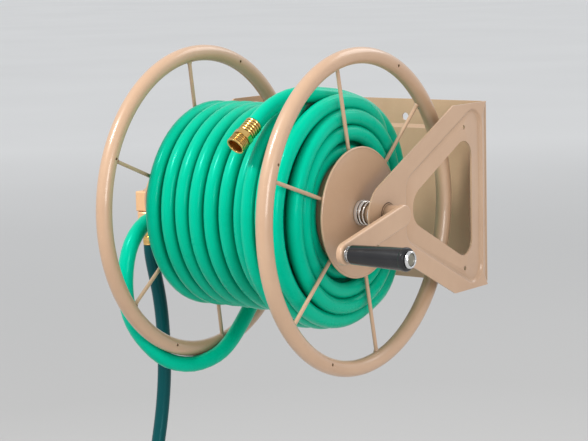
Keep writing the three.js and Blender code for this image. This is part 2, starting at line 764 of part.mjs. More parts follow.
const loop = [...LOOP_ROUTE.map(reelPoint), ...LOOP_JOIN.map((point) => onReel(...point))];
place(reel, "hose_loop", tubeAlong(smooth(loop), HOSE_RADIUS, 32, TUBE_SIDES), GREEN);

const packProfile = [
  [DRUM_RADIUS + GAP, REEL_X - PACK.halfLength],
  [PACK.leftRadius, REEL_X - PACK.halfLength],
  [PACK.leftRadius, REEL_X + PACK.step],
  [PACK.rightRadius, REEL_X + PACK.step],
  [PACK.rightRadius, REEL_X + PACK.halfLength],
  [DRUM_RADIUS + GAP, REEL_X + PACK.halfLength],
  [DRUM_RADIUS + GAP, REEL_X - PACK.halfLength],
];
place(reel, "hose_pack", turned(packProfile, AXLE_Y, 0, 48), GREEN);

// The last stretch comes up out of the winding and runs over it to its end fitting.
const FREE_ROUTE = [
  [86.6, OVER, 78.5],
  [81.8, OVER + 0.4, 71.3],
  [75.8, OVER + 1.6, 64.5],
  [69.8, OVER + 3.4, 58.2],
  [65.6, OVER + 5.6, 51.4],
  [62.4, OVER + 7.9, 44.1],
];
const freeEnd = FREE_ROUTE.map((point) => onReel(...point));
const freeCurve = smooth(freeEnd);
place(reel, "hose_free_end", tubeAlong(freeCurve, HOSE_RADIUS, 12, TUBE_SIDES), GREEN);

// A ribbed sleeve, a wider band and a mouth with a step inside.
function hoseEndFitting() {
  const { groove, rib, pitch, ribs } = SLEEVE;
  const { band, bandStart, bandEnd, front, frontStart, end, mouth, mouthStart } = FITTING;
  const profile = [[WATERWAY, GAP]];
  for (let i = 0; i < ribs; i++) {
    const along = GAP + i * pitch;
    profile.push([groove, along], [rib, along + 1.2], [rib, along + 3], [groove, along + pitch]);
  }
  profile.push([band, bandStart], [band, bandEnd], [front, frontStart], [front, end]);
  profile.push([mouth, end], [mouth, mouthStart], [WATERWAY, mouthStart], [WATERWAY, GAP]);
  return turnedAlong(profile, freeEnd.at(-1), freeCurve.getTangent(1), 20);
}

place(reel, "hose_end_fitting", hoseEndFitting(), BRASS);

export default object;
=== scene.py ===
"""Looks of a wall-mounted garden hose reel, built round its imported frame.

Metres. +Z is up, +Y goes into the wall and +X runs along the axle towards the crank.
"""

import math

import bmesh
import bpy
import numpy as np
from mathutils import Matrix, Vector
from mathutils.geometry import delaunay_2d_cdt


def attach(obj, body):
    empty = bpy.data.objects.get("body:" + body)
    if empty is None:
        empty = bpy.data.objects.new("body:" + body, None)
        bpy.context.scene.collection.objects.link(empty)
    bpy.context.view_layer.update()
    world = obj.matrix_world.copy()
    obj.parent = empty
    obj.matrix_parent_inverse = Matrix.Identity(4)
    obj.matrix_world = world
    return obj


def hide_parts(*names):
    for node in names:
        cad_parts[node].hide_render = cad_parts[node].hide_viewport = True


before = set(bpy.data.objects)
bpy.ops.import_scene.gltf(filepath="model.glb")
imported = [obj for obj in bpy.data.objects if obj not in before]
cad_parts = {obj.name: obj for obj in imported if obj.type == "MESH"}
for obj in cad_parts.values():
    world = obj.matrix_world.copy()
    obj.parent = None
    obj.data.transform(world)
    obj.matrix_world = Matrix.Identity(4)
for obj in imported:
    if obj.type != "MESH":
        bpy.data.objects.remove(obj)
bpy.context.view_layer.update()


def add_object(name, data):
    made = bpy.data.objects.new(name, data)
    bpy.context.scene.collection.objects.link(made)
    return made


# ---- camera ----
CAMERA_AT = (1.6222, -2.3759, 0.3461)
CAMERA_TURN = 36.77  # degrees to the left of the wall's normal
CAMERA_DIP = 7.83
CAMERA_ROLL = -1.29
CAMERA_LENS = 119.66  # mm, on a 36 mm sensor


def add_camera():
    turn, dip, roll = (math.radians(a) for a in (CAMERA_TURN, CAMERA_DIP, CAMERA_ROLL))
    ahead = Vector(
        (-math.sin(turn) * math.cos(dip), math.cos(turn) * math.cos(dip), -math.sin(dip))
    )
    level = Vector((math.cos(turn), math.sin(turn), 0))
    up = level.cross(ahead)
    right = math.cos(roll) * level + math.sin(roll) * up
    up = right.cross(ahead)
    data = bpy.data.cameras.new("camera")
    data.lens = CAMERA_LENS
    data.sensor_width = 36
    data.clip_end = 200
    camera = add_object("camera", data)
    turned = Matrix((right, up, -ahead)).transposed()
    camera.matrix_world = Matrix.Translation(CAMERA_AT) @ turned.to_4x4()
    bpy.context.scene.camera = camera


add_camera()

# ---- sizes that the looks share with the frame ----
REEL_X = 0.0135  # middle of the reel
AXLE_Y = -0.256
ALONG = Vector((1, 0, 0))  # the axle's direction
ARM_FACE = 0.193  # outer face of each side arm
SHEET = 0.0025
GAP = 0.0003  # between neighbouring pieces
SIDES = {"right": 1, "left": -1}
QUARTER = math.pi / 2
RIM_PLANE = 0.134  # from the reel's middle
RIM_RADIUS = 0.209
RIM_TUBE = 0.011
SPOKE_START = {"right": 18.5, "left": 22.0}  # degrees above the front
VENTS = 4
VENT_START = {"right": 23.6, "left": 22.3}  # degrees above the front
AXLE_RADIUS = 0.013
WATERWAY = 0.007  # radius of the bores that carry water
HOSE_RADIUS = 0.011
LEADER_RADIUS = 0.010
LEADER_X = -0.236  # from the reel's middle
OUTLET_X = -0.166
OUTLET_ANGLE = 14.0  # degrees below the front
OVER = 0.1746  # radius of the hose where it lies on the whole winding


def reel_point(x, y, z):
    return Vector((REEL_X + x, AXLE_Y + y, z))


def on_reel(x, radius, degrees):
    """A point on the reel: x from its middle, and degrees above the front."""
    angle = math.radians(degrees)
    return reel_point(x, -radius * math.cos(angle), radius * math.sin(angle))


# ---- meshes ----
def mesh_of(name, points, faces):
    mesh = bpy.data.meshes.new(name)
    mesh.from_pydata([tuple(p) for p in points], [], faces)
    mesh.validate()
    return mesh


def add_piece(name, mesh, body, surface, sharp=40.0):
    """Shows a mesh as a smooth piece that rides on a body."""
    mesh.polygons.foreach_set("use_smooth", [True] * len(mesh.polygons))
    mesh.set_sharp_from_angle(angle=math.radians(sharp))
    mesh.materials.append(surface)
    piece = add_object(name, mesh)
    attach(piece, body)
    return piece


def add_normals(piece):
    modifier = piece.modifiers.new("normals", "WEIGHTED_NORMAL")
    modifier.keep_sharp = True
    modifier.weight = 80


def add_bevel(piece, width, segments=2):
    modifier = piece.modifiers.new("bevel", "BEVEL")
    modifier.width = width
    modifier.segments = segments
    modifier.limit_method = "ANGLE"
    modifier.angle_limit = math.radians(50)
    modifier.harden_normals = True


def softened(outline, radius, closed):
    """Rounds the corners of an outline with short arcs."""
    points = []
    for i, at in enumerate(outline):
        corner = Vector(at)
        before = Vector(outline[i - 1]) - corner
        after = Vector(outline[(i + 1) % len(outline)]) - corner
        end = not closed and i in (0, len(outline) - 1)
        if end or before.angle(after) > 2.9:
            points.append(corner)
            continue
        reach = radius / math.tan(before.angle(after) / 2)
        reach = min(reach, 0.45 * before.length, 0.45 * after.length)
        start = corner + before.normalized() * reach
        stop = corner + after.normalized() * reach
        for t in (0, 0.25, 0.5, 0.75, 1):
            points.append(start.lerp(corner, t).lerp(corner.lerp(stop, t), t))
    return points


def skin(rings, closed):
    """Faces between rings of equal length, the first ring's points coming first."""
    count = len(rings[0])
    faces = []
    last = len(rings) if closed else len(rings) - 1
    for i in range(last):
        a = i * count
        b = ((i + 1) % len(rings)) * count
        for j in range(count):
            k = (j + 1) % count
            faces.append((a + j, a + k, b + k, b + j))
    return faces


def rod_mesh(name, rings):
    """A mesh through rings, with flat ends."""
    points = [p for ring in rings for p in ring]
    count, total = len(rings[0]), len(points)
    ends = [tuple(range(count)), tuple(range(total - 1, total - count - 1, -1))]
    return mesh_of(name, points, skin(rings, False) + ends)


def ring_round(at, across, beside, radius, sides):
    """Points of a circle round a place."""
    angles = [2 * math.pi * j / sides for j in range(sides)]
    return [at + (across * math.cos(a) + beside * math.sin(a)) * radius for a in angles]


def lathe(name, node, outline, start, way, body, surface, soft=0.0004, sides=64, facets=None):
    """Turns a closed outline of (radius, along) about a line, in place of a CAD node.

    Facets are (number, beyond, flat): what lies beyond a radius is flattened, as on a nut.
    """
    closed = outline[0][0] > 0
    outline = softened(outline, soft, closed)
    way = Vector(way).normalized()
    across = way.orthogonal().normalized()
    beside = way.cross(across)
    rings = []
    for radius, along in outline:
        ring = []
        for j in range(sides):
            angle = 2 * math.pi * j / sides
            reach = radius
            if facets and radius > facets[1]:
                number, _, flat = facets
                sector = 2 * math.pi / number
                reach = min(radius, flat / math.cos((angle + sector / 2) % sector - sector / 2))
            out = across * math.cos(angle) + beside * math.sin(angle)
            ring.append(Vector(start) + way * along + out * reach)
        rings.append(ring)
    points = [p for ring in rings for p in ring]
    piece = add_piece(name, mesh_of(name, points, skin(rings, closed)), body, surface)
    weld(piece, closed)
    add_normals(piece)
    if node:
        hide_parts(node)
    return piece


def weld(piece, closed=True):
    """Joins points that coincide, closes open ends and turns every face outwards."""
    made = bmesh.new()
    made.from_mesh(piece.data)
    bmesh.ops.remove_doubles(made, verts=made.verts, dist=1e-6)
    if not closed:
        loose = [e for e in made.edges if e.is_boundary]
        bmesh.ops.holes_fill(made, edges=loose, sides=0)
    bmesh.ops.recalc_face_normals(made, faces=made.faces)
    made.to_mesh(piece.data)
    made.free()


def sweep(name, nodes, way, radius, body, surface, sides=20, swell=None):
    """A round bar along points, in place of CAD nodes. Swell thickens it, point by point."""
    way = [Vector(p) for p in way]
    across = (way[1] - way[0]).orthogonal().normalized()
    rings = []
    for i, at in enumerate(way):
        ahead = (way[min(i + 1, len(way) - 1)] - way[max(i - 1, 0)]).normalized()
        across = (across - ahead * across.dot(ahead)).normalized()
        beside = ahead.cross(across)
        thick = radius if swell is None else radius * swell[i]
        rings.append(ring_round(at, across, beside, thick, sides))
    piece = add_piece(name, rod_mesh(name, rings), body, surface)
    weld(piece)
    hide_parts(*nodes)
    return piece


def smooth_route(points, step):
    """Evenly spaced points on a smooth curve through the given points."""
    points = [Vector(p) for p in points]
    first = 2 * points[0] - points[1]
    last = 2 * points[-1] - points[-2]
    all_points = [first, *points, last]
    fine = []
    for i in range(1, len(all_points) - 2):
        p0, p1, p2, p3 = all_points[i - 1 : i + 3]
        knots = [0.0]
        for a, b in ((p0, p1), (p1, p2), (p2, p3)):
            knots.append(knots[-1] + math.sqrt((b - a).length))
        for k in range(20):
            t = knots[1] + (knots[2] - knots[1]) * k / 20
            a1 = p0.lerp(p1, (t - knots[0]) / (knots[1] - knots[0]))
            a2 = p1.lerp(p2, (t - knots[1]) / (knots[2] - knots[1]))
            a3 = p2.lerp(p3, (t - knots[2]) / (knots[3] - knots[2]))
            b1 = a1.lerp(a2, (t - knots[0]) / (knots[2] - knots[0]))
            b2 = a2.lerp(a3, (t - knots[1]) / (knots[3] - knots[1]))
            fine.append(b1.lerp(b2, (t - knots[1]) / (knots[2] - knots[1])))
    fine.append(points[-1])
    return respaced(fine, step)


def respaced(points, step):
    array = np.array([tuple(p) for p in points])
    lengths = np.linalg.norm(np.diff(array, axis=0), axis=1)
    travelled = np.concatenate([[0], np.cumsum(lengths)])
    count = max(2, round(travelled[-1] / step) + 1)
    at = np.linspace(0, travelled[-1], count)
    return [Vector([np.interp(a, travelled, array[:, k]) for k in range(3)]) for a in at]


# ---- materials ----
def set_inputs(node, **values):
    """Sets a shader node's inputs. An underscore in a name stands for a space."""
    for name, value in values.items():
        node.inputs[name.replace("_", " ")].default_value = value


class Surface:
    """A material with one Principled shader, whose nodes are added one by one."""

    def __init__(self, name, roughness, metallic=0.0, specular=0.5, coat=0.0, tint=(1, 1, 1)):
        self.material = bpy.data.materials.new(name)
        self.material.use_nodes = True
        self.nodes = self.material.node_tree.nodes
        self.links = self.material.node_tree.links
        self.shader = self.nodes["Principled BSDF"]
        set_inputs(self.shader, Roughness=roughness, Metallic=metallic)
        set_inputs(self.shader, Specular_IOR_Level=specular, Specular_Tint=(*tint, 1))
        set_inputs(self.shader, Coat_Weight=coat, Coat_Roughness=0.08)
        self.normal = None
        self.where = self.nodes.new("ShaderNodeTexCoord").outputs["Object"]

    def link(self, source, target):
        self.links.new(source, target)

    def add(self, kind, **values):
        node = self.nodes.new(f"ShaderNode{kind}")
        set_inputs(node, **values)
        return node

    def stretched(self, x, y, z):
        mapping = self.add("Mapping", Scale=(x, y, z))
        self.link(self.where, mapping.inputs["Vector"])
        return mapping.outputs["Vector"]

    def noise(self, scale, detail=3.0, rough=0.55, where=None):
        node = self.add("TexNoise", Scale=scale, Detail=detail, Roughness=rough)
        self.link(where or self.where, node.inputs["Vector"])
        return node.outputs["Fac"]

    def ramp(self, source, *stops):
        node = self.add("ValToRGB")
        elements = node.color_ramp.elements
        while len(elements) < len(stops):
            elements.new(0.5)
        for element, (place, colour) in zip(elements, stops):
            element.position = place
            element.color = (*colour, 1)
        self.link(source, node.inputs["Fac"])
        return node.outputs["Color"]

    def levels(self, source, low, high, from_low=0.0, from_high=1.0):
        node = self.add("MapRange", From_Min=from_low, From_Max=from_high, To_Min=low, To_Max=high)
        self.link(source, node.inputs["Value"])
        return node.outputs["Result"]

    def mixed(self, share, first, second):
        node = self.add("Mix")
        node.data_type = "RGBA"
        self.link(share, node.inputs["Factor"])
        for socket, value in ((node.inputs[6], first), (node.inputs[7], second)):
            if isinstance(value, tuple):
                socket.default_value = (*value, 1)
            else:
                self.link(value, socket)
        return node.outputs[2]

    def with_painted_shade(self, colour, shade_tone, reach, share):
        """A colour darkened towards a shade tone in its corners and creases: painted shade."""
        node = self.add("AmbientOcclusion", Distance=reach)
        node.samples = 8
        crevices = self.levels(node.outputs["AO"], 1, 0, 0.25, 0.95)
        return self.mixed(self.levels(crevices, 0, share), colour, shade_tone)

    def bump(self, height, strength, distance):
        node = self.add("Bump", Strength=strength, Distance=distance)
        self.link(height, node.inputs["Height"])
        if self.normal:
            self.link(self.normal, node.inputs["Normal"])
        self.normal = node.outputs["Normal"]

    def finish(self, colour, roughness=None):
        self.link(colour, self.shader.inputs["Base Color"])
        if roughness:
            self.link(roughness, self.shader.inputs["Roughness"])
        if self.normal:
            self.link(self.normal, self.shader.inputs["Normal"])
        return self.material


def powder_coat(name, light, dark, shade_tone, shade):
    """Satin paint, with painted shade in its corners. Shade is how much painted shade lies in wide
    hollows.
    """
    made = Surface(name, 0.3, specular=0.5, coat=0.5)
    colour = made.ramp(made.noise(9, 4, 0.6), (0.3, dark), (0.7, light))
    colour = made.with_painted_shade(colour, shade_tone, 0.012, 0.4)
    colour = made.with_painted_shade(colour, shade_tone, 0.09, shade)
    worn = made.levels(made.noise(150, 6, 0.7), 0, 0.3, 0.6, 0.8)
    colour = made.mixed(worn, colour, tuple(min(1, c * 1.35) for c in light))
    made.bump(made.noise(900, 2, 0.5), 0.12, 0.0004)
    made.bump(made.noise(140, 2), 0.06, 0.001)
    return made.finish(colour, made.levels(made.noise(35, 4, 0.7), 0.26, 0.42))


def hose_skin(name, light, dark, shade_tone, low, high, tint):
    """Rubber with faint scuffs. Low and high are the limits of its roughness."""
    made = Surface(name, low, specular=0.22, coat=0.05, tint=tint)
    colour = made.ramp(made.noise(6, 3), (0.3, dark), (0.72, light))
    # Painted shade: darker in the creases between turns.
    colour = made.with_painted_shade(colour, shade_tone, 0.012, 0.4)
    worn = made.levels(made.noise(55, 6, 0.7), 0, 0.3, 0.5, 0.8)
    colour = made.mixed(worn, colour, dark)
    made.bump(made.noise(420, 3, 0.6), 0.22, 0.0005)
    made.bump(made.noise(38, 2), 0.15, 0.002)
    return made.finish(colour, made.levels(made.noise(24, 4, 0.65), low, high))


def turned_metal(name, light, dark, shade_tone, low, high, metallic=1.0):
    """Metal with fine lathe lines. Low and high are the limits of its roughness."""
    made = Surface(name, low, metallic)
    lines = made.noise(1.0, 4, 0.6, made.stretched(60, 60, 900))
    colour = made.ramp(made.noise(30, 4, 0.65), (0.3, dark), (0.7, light))
    # Painted shade: darker in grooves and corners.
    colour = made.with_painted_shade(colour, shade_tone, 0.004, 0.95)
    made.bump(lines, 0.1, 0.0003)
    return made.finish(colour, made.levels(lines, low, high))


TAN_LIGHT = (0.575, 0.375, 0.242)
TAN_DARK = (0.52, 0.33, 0.21)
# Colour of the painted shade in the paint's corners and hollows.
TAN_SHADE_TONE = (0.15, 0.12, 0.06)
# Two copies of one paint: the first has painted shade in corners and wide hollows, the second, for
# the disc and crank, only in corners.
tan = powder_coat("tan_powder_coat", TAN_LIGHT, TAN_DARK, TAN_SHADE_TONE, 0.28)
tan_without_wide_shade = powder_coat("tan_powder_coat_without_wide_shade", TAN_LIGHT, TAN_DARK, TAN_SHADE_TONE, 0.0)
# Each hose's tones: light, dark, and the colour of the painted shade in the creases between turns.
green_tones = ((0.0, 0.53, 0.33), (0.0, 0.44, 0.26), (0.0, 0.12, 0.06))
green = hose_skin("green_hose_skin", *green_tones, 0.2, 0.38, (0.05, 1.0, 0.92))
teal_tones = ((0.003, 0.075, 0.08), (0.001, 0.05, 0.056), (0.0, 0.02, 0.025))
teal = hose_skin("leader_skin", *teal_tones, 0.16, 0.26, (0.4, 0.9, 1.0))
# Each metal: light and dark tones, the colour of its painted shade in grooves, then the limits of
# its roughness.
brass = turned_metal(
    "machined_brass", (0.86, 0.58, 0.21), (0.72, 0.44, 0.12), (0.14, 0.06, 0.012), 0.12, 0.26
)
cast_brass = turned_metal(
    "cast_brass", (1.0, 0.62, 0.34), (0.96, 0.57, 0.3), (0.4, 0.2, 0.08), 0.36, 0.5, 0.5
)
chrome = turned_metal(
    "chrome_plate", (0.82, 0.82, 0.82), (0.74, 0.74, 0.75), (0.2, 0.19, 0.18), 0.05, 0.14
)
spring_steel = turned_metal(
    "spring_steel", (0.95, 0.94, 0.92), (0.86, 0.85, 0.83), (0.2, 0.18, 0.15), 0.12, 0.24
)
zinc = turned_metal(
    "bright_zinc", (0.93, 0.92, 0.9), (0.85, 0.84, 0.82), (0.35, 0.33, 0.3), 0.25, 0.38, 0.7
)
# A shaded copy of brass, for the inside of the hose fitting's mouth: painted shade.
brass_in_painted_shade = turned_metal(
    "brass_in_painted_shade", (0.62, 0.33, 0.08), (0.5, 0.25, 0.05), (0.16, 0.07, 0.015), 0.3, 0.45
)
dull_steel = turned_metal(
    "dull_steel", (0.42, 0.40, 0.33), (0.3, 0.28, 0.22), (0.1, 0.09, 0.07), 0.35, 0.5
)


def grip_surface():
    made = Surface("black_grip", 0.2, specular=0.4, coat=0.25)
    dark, light = (0.007, 0.007, 0.009), (0.013, 0.013, 0.015)
    colour = made.ramp(made.noise(40, 4), (0.3, dark), (0.7, light))
    scuff = made.levels(made.noise(18, 5, 0.7, made.stretched(1, 6, 6)), 0, 0.12, 0.6, 0.8)
    colour = made.mixed(scuff, colour, (0.1, 0.1, 0.1))
    made.bump(made.noise(300, 2), 0.06, 0.0004)
    return made.finish(colour, made.levels(made.noise(60, 4), 0.16, 0.3))


def strap_surface():
    made = Surface("woven_strap", 0.8)
    weave = made.add("TexChecker", Scale=900)
    made.link(made.where, weave.inputs["Vector"])
    dark, light = (0.01, 0.01, 0.011), (0.03, 0.03, 0.032)
    colour = made.ramp(made.noise(300, 3), (0.3, dark), (0.7, light))
    made.bump(weave.outputs["Fac"], 0.5, 0.0004)
    made.bump(made.noise(700, 2), 0.4, 0.0005)
    return made.finish(colour, made.levels(made.noise(80, 3), 0.7, 0.9))


def bush_surface():
    made = Surface("tan_bush", 0.55, specular=0.4)
    dark, light, shade_tone = (0.42, 0.26, 0.16), (0.5, 0.32, 0.2), (0.06, 0.035, 0.02)
    colour = made.ramp(made.noise(60, 3), (0.3, dark), (0.7, light))
    # Painted shade: darker in the bush's corners and round its gap.
    colour = made.with_painted_shade(colour, shade_tone, 0.004, 0.8)
    made.bump(made.noise(500, 2), 0.1, 0.0004)
    return made.finish(colour, made.levels(made.noise(90, 3), 0.5, 0.65))


bush_tan = bush_surface()
black = grip_surface()
strap = strap_surface()


# ---- the leader hose ----
LEADER_ROUTE = [  # (y, z) from the reel's middle, at LEADER_X
    (0, -0.0696), (0.0004, -0.080), (0.0035, -0.097), (0.009, -0.119), (0.015, -0.144),
    (0.0195, -0.172), (0.022, -0.202), (0.0228, -0.232), (0.0218, -0.262), (0.018, -0.296),
    (0.0115, -0.330), (0.003, -0.364), (-0.0055, -0.398), (-0.0166, -0.441), (-0.0225, -0.465),
]
COIL_RADIUS = 0.105
COIL_Y = -0.1357
COIL_Z = -0.4847
COIL_ENTRY = -14.5  # degrees above the wall side
COIL_LANE = 0.0206  # from one turn to the next
COIL_TAIL_LANE = 0.0463
COIL_WOUND = 573  # degrees in the whole coil
COIL_LANES = [
    (0, 0),
    (300, 0),
    (360, COIL_LANE),
    (480, COIL_LANE),
    (540, COIL_TAIL_LANE),
    (COIL_WOUND, COIL_TAIL_LANE),
]


def on_coil(lane, wound, radius=COIL_RADIUS):
    angle = math.radians(COIL_ENTRY - wound)
    y = COIL_Y + radius * math.cos(angle)
    z = COIL_Z + radius * math.sin(angle)
    return reel_point(LEADER_X + lane, y, z)


def eased(value, table):
    """Reads a table of (place, value), with soft steps between its rows."""
    for (a, low), (b, high) in zip(table, table[1:]):
        if value <= b:
            t = min(1.0, max(0.0, (value - a) / (b - a)))
            return low + (high - low) * t * t * (3 - 2 * t)
    return table[-1][1]


def leader_way():
    coil = [on_coil(eased(wound, COIL_LANES), wound) for wound in range(0, COIL_WOUND + 1, 3)]
    return smooth_route([reel_point(LEADER_X, *p) for p in LEADER_ROUTE] + coil, 0.006)


leader_line = leader_way()
leader_nodes = ["leader_hose", "leader_coil", "leader_hose_tail"]
leader = sweep(
    "leader_hose_line", leader_nodes, leader_line, LEADER_RADIUS, "bracket", teal, 24
)

# ---- the wound hose ----
# From the hub outlet the hose goes down outside the left rim, crosses under it and comes up
# inside it to the winding. The first points are (x, y, z) from the reel's middle, and the others
# are (x, radius, degrees above the front).
LOOP_ROUTE = [
    (OUTLET_X, -0.0778, -0.0194), (OUTLET_X, -0.090, -0.0226), (OUTLET_X, -0.107, -0.033),
    (OUTLET_X, -0.122, -0.050), (OUTLET_X, -0.131, -0.071), (OUTLET_X, -0.1355, -0.097),
    (OUTLET_X, -0.1345, -0.124), (-0.1655, -0.1275, -0.150),
]
LOOP_JOIN = [
    (-0.1635, 0.207, -56), (-0.1585, 0.2155, -61), (-0.1515, 0.224, -65.8),
    (-0.143, 0.2302, -70.6), (-0.134, 0.2318, -75.2), (-0.1255, 0.230, -79.8),
    (-0.1177, 0.2244, -84.6), (-0.1126, 0.217, -89.6), (-0.1106, 0.2075, -94.8),
    (-0.1106, 0.196, -100.8), (-0.1108, 0.1845, -107.5), (-0.1112, 0.174, -115.5),
    (-0.1116, 0.1655, -125), (-0.112, 0.1605, -136), (-0.112, 0.158, -148),
]
FREE_ROUTE = [
    (0.0885, 0.152, 104), (0.088, 0.153, 95), (0.088, 0.156, 86),
    (0.0868, 0.161, 78.5), (0.083, 0.1685, 71.3), (0.0765, 0.1745, 64.5),
    (0.0702, OVER + 0.003, 58.2), (0.0656, OVER + 0.0056, 51.4), (0.0624, OVER + 0.0079, 44.1),
]
COLUMNS = 10
COLUMN_STEP = 0.0249
FIRST_COLUMN = LOOP_JOIN[-1][0]
FIRST_LAYER = 0.084  # radii of the layers
SECOND_LAYER = 0.106
THIRD_LAYER = 0.132
THIRD_LAYER_RIGHT = 0.128  # where the fourth layer presses on it
FOURTH_LAYER = 0.150
WINDING_START = -151  # degrees above the front, where the loop joins the winding
STEEP = 140  # degrees of each turn, at the back, that step to the next turn
STEP_AT = 319  # degrees wound at the first of those steps
FIRST_LAYER_END = (0.107, 0.080)
LAST_TURN = (0.105, 0.147)  # x and radius of the outermost turn by the right disc
BACK_SHIFT = 0.0249  # how far the other outermost turns lie to the left at the top and back
SHIFT_TABLE = [(50, 0), (88, 1), (235, 1), (285, 0)]  # share of that shift, by degrees
SQUEEZE = 0.009  # how far the turns by the right disc are pulled in at the front
SQUEEZED_X = 0.1  # the turns to the right of this are pulled in
SQUEEZED_RADII = (0.09, 0.14)
SQUEEZE_ROOT, SQUEEZE_SPAN = 0.05, 0.078  # no pull at this radius, and all of it this much on
SQUEEZE_OUT = 0.2  # share of the pull that pushes a turn to the right
OUTER_FROM, OUTER_RISE = 0.134, 0.014  # no shift at this radius, and all of it this much on
WINDING_STEP = 10.0  # degrees between the route's points
FREE_START = 138  # degrees past the last turn, where FREE_ROUTE takes over
# From the last turn to the free end, as (degrees past the turn, x) and (degrees, radius).
LAST_X = [(50, 0.084), (120, 0.090), (146, 0.0885)]
LAST_RADIUS = [(35, 0.167), (90, 0.165), (146, 0.152)]


def turns():
    """(x, radius) of each turn of the winding, in the order it was wound."""
    made = [(FIRST_COLUMN, radius) for radius in (THIRD_LAYER, 0.108, FIRST_LAYER)]
    columns = [FIRST_COLUMN + COLUMN_STEP * k for k in range(1, COLUMNS)]
    made += [(x, FIRST_LAYER) for x in columns[:-1]] + [FIRST_LAYER_END]
    made += [(x, SECOND_LAYER) for x in reversed(columns)]
    made += [(x, THIRD_LAYER if x < 0.05 else THIRD_LAYER_RIGHT) for x in columns]
    made += [(x, FOURTH_LAYER) for x in columns[-3:-1]]
    return made + [LAST_TURN]


def winding():
    """Points of the winding, from where the loop joins it to where the free end leaves it."""
    x_table = [(0, FIRST_COLUMN)]
    radius_table = [(0, LOOP_JOIN[-1][1])]
    for n, (x, radius) in enumerate(turns()):
        start = 360 * (n - 1) + STEP_AT + STEEP
        if (x, radius) == LAST_TURN:
            x_table.append((start - 80, x_table[-1][1]))
        x_table += [(start, x), (start + 360 - STEEP, x)]
        radius_table += [(start, radius), (start + 360 - STEEP, radius)]
    end = radius_table[-1][0]
    last = end - 360 + STEEP
    x_table += [(end + past, x) for past, x in LAST_X]
    radius_table += [(end + past, radius) for past, radius in LAST_RADIUS]
    points = []
    for wound in np.arange(WINDING_STEP, end + FREE_START, WINDING_STEP):
        degrees = (WINDING_START - wound) % 360
        x = eased(wound, x_table)
        radius = eased(wound, radius_table)
        outermost = min(1.0, max(0.0, (radius - OUTER_FROM) / OUTER_RISE))
        fading = eased(wound, [(last - 80, 1), (last, 0)])
        ahead = max(0.0, math.cos(math.radians(degrees))) ** 2
        if x > SQUEEZED_X and SQUEEZED_RADII[0] < radius < SQUEEZED_RADII[1]:
            radius -= SQUEEZE * ahead * (radius - SQUEEZE_ROOT) / SQUEEZE_SPAN
            x += SQUEEZE_OUT * SQUEEZE * ahead
        x -= BACK_SHIFT * outermost * fading * eased(degrees, SHIFT_TABLE)
        # A hand-wound hose lies a little unevenly.
        x += 0.0009 * math.sin(wound * 0.0131 + 1.3) + 0.0005 * math.sin(wound * 0.047)
        radius += 0.0004 * math.sin(wound * 0.029 + 0.4)
        points.append(on_reel(x, radius, degrees))
    return points


def hose_way():
    points = [reel_point(*p) for p in LOOP_ROUTE]
    points += [on_reel(*p) for p in LOOP_JOIN]
    points += winding()
    points += [on_reel(*p) for p in FREE_ROUTE]
    return smooth_route(points, 0.013)


hose_line = hose_way()
hose_nodes = ["hose_loop", "hose_pack", "hose_free_end"]
hose = sweep("garden_hose_line", hose_nodes, hose_line, HOSE_RADIUS, "reel", green, 24)

# ---- the bracket ----
PLATE_HALF_WIDTH = 0.1902
PLATE_HALF_HEIGHT = 0.131
PANEL_HALF_WIDTH = 0.170
PANEL_HALF_HEIGHT = 0.094
PANEL_RISE = 0.004
PLATE_HOLE = (0.055, 0.105, 0.0056)  # from the middle, from the middle and radius
ARM_WALL = 0.256  # from the axle to the wall
ARM_NOSE = 0.044
ARM_TOP = 0.162  # from the axle to the start of the straight top
ARM_BEND = 0.005  # radius where the sheet bends in at the wall
ARM_HOLE = (0.191, 0.099, 0.0033)
ARM_BORE = 0.0163
WINDOW_RIGHT, WINDOW_SLOPE, WINDOW_START = 0.211, 0.51, 0.026
WINDOW_FRONT_ROUND, WINDOW_ROUND = 0.0283, 0.022
RECESS_LEFT, RECESS_RIGHT, RECESS_SLOPE, RECESS_START = 0.045, 0.238, 0.495, -0.0374
RECESS_ROUND = 0.024
RECESS_DEPTH = 0.0034
PRESSING = (0, 0, 0.06, 0.2, 0.5, 0.8, 0.94, 1, 1)  # share of a pressed step's height
FLANGE = 0.018
FLANGE_SHORT = 0.006  # at each end
PLATE_ROUND = 0.006
PANEL_ROUND = 0.014
STEP_EDGES = {"plate": (-0.0018, 0.0076), "arm": (-0.0033, 0.0071)}  # start and width of a step
FLAT_FACE = 0.99999  # a face whose normal lies this close to the X or Y direction stays flat


def arc(at, radius, start, stop, count):
    """Points on an arc, in radians, from start to stop."""
    angles = [start + (stop - start) * k / count for k in range(count + 1)]
    return [(at[0] + radius * math.cos(a), at[1] + radius * math.sin(a)) for a in angles]


def circle(at, radius, count):
    return arc(at, radius, 0, 2 * math.pi, count)[:-1]


def rounded_rectangle(half_width, half_height, radius):
    points = []
    for k, (x, z) in enumerate(((1, 1), (-1, 1), (-1, -1), (1, -1))):
        corner = (x * (half_width - radius), z * (half_height - radius))
        points += arc(corner, radius, k * QUARTER, (k + 1) * QUARTER, 8)
    return points


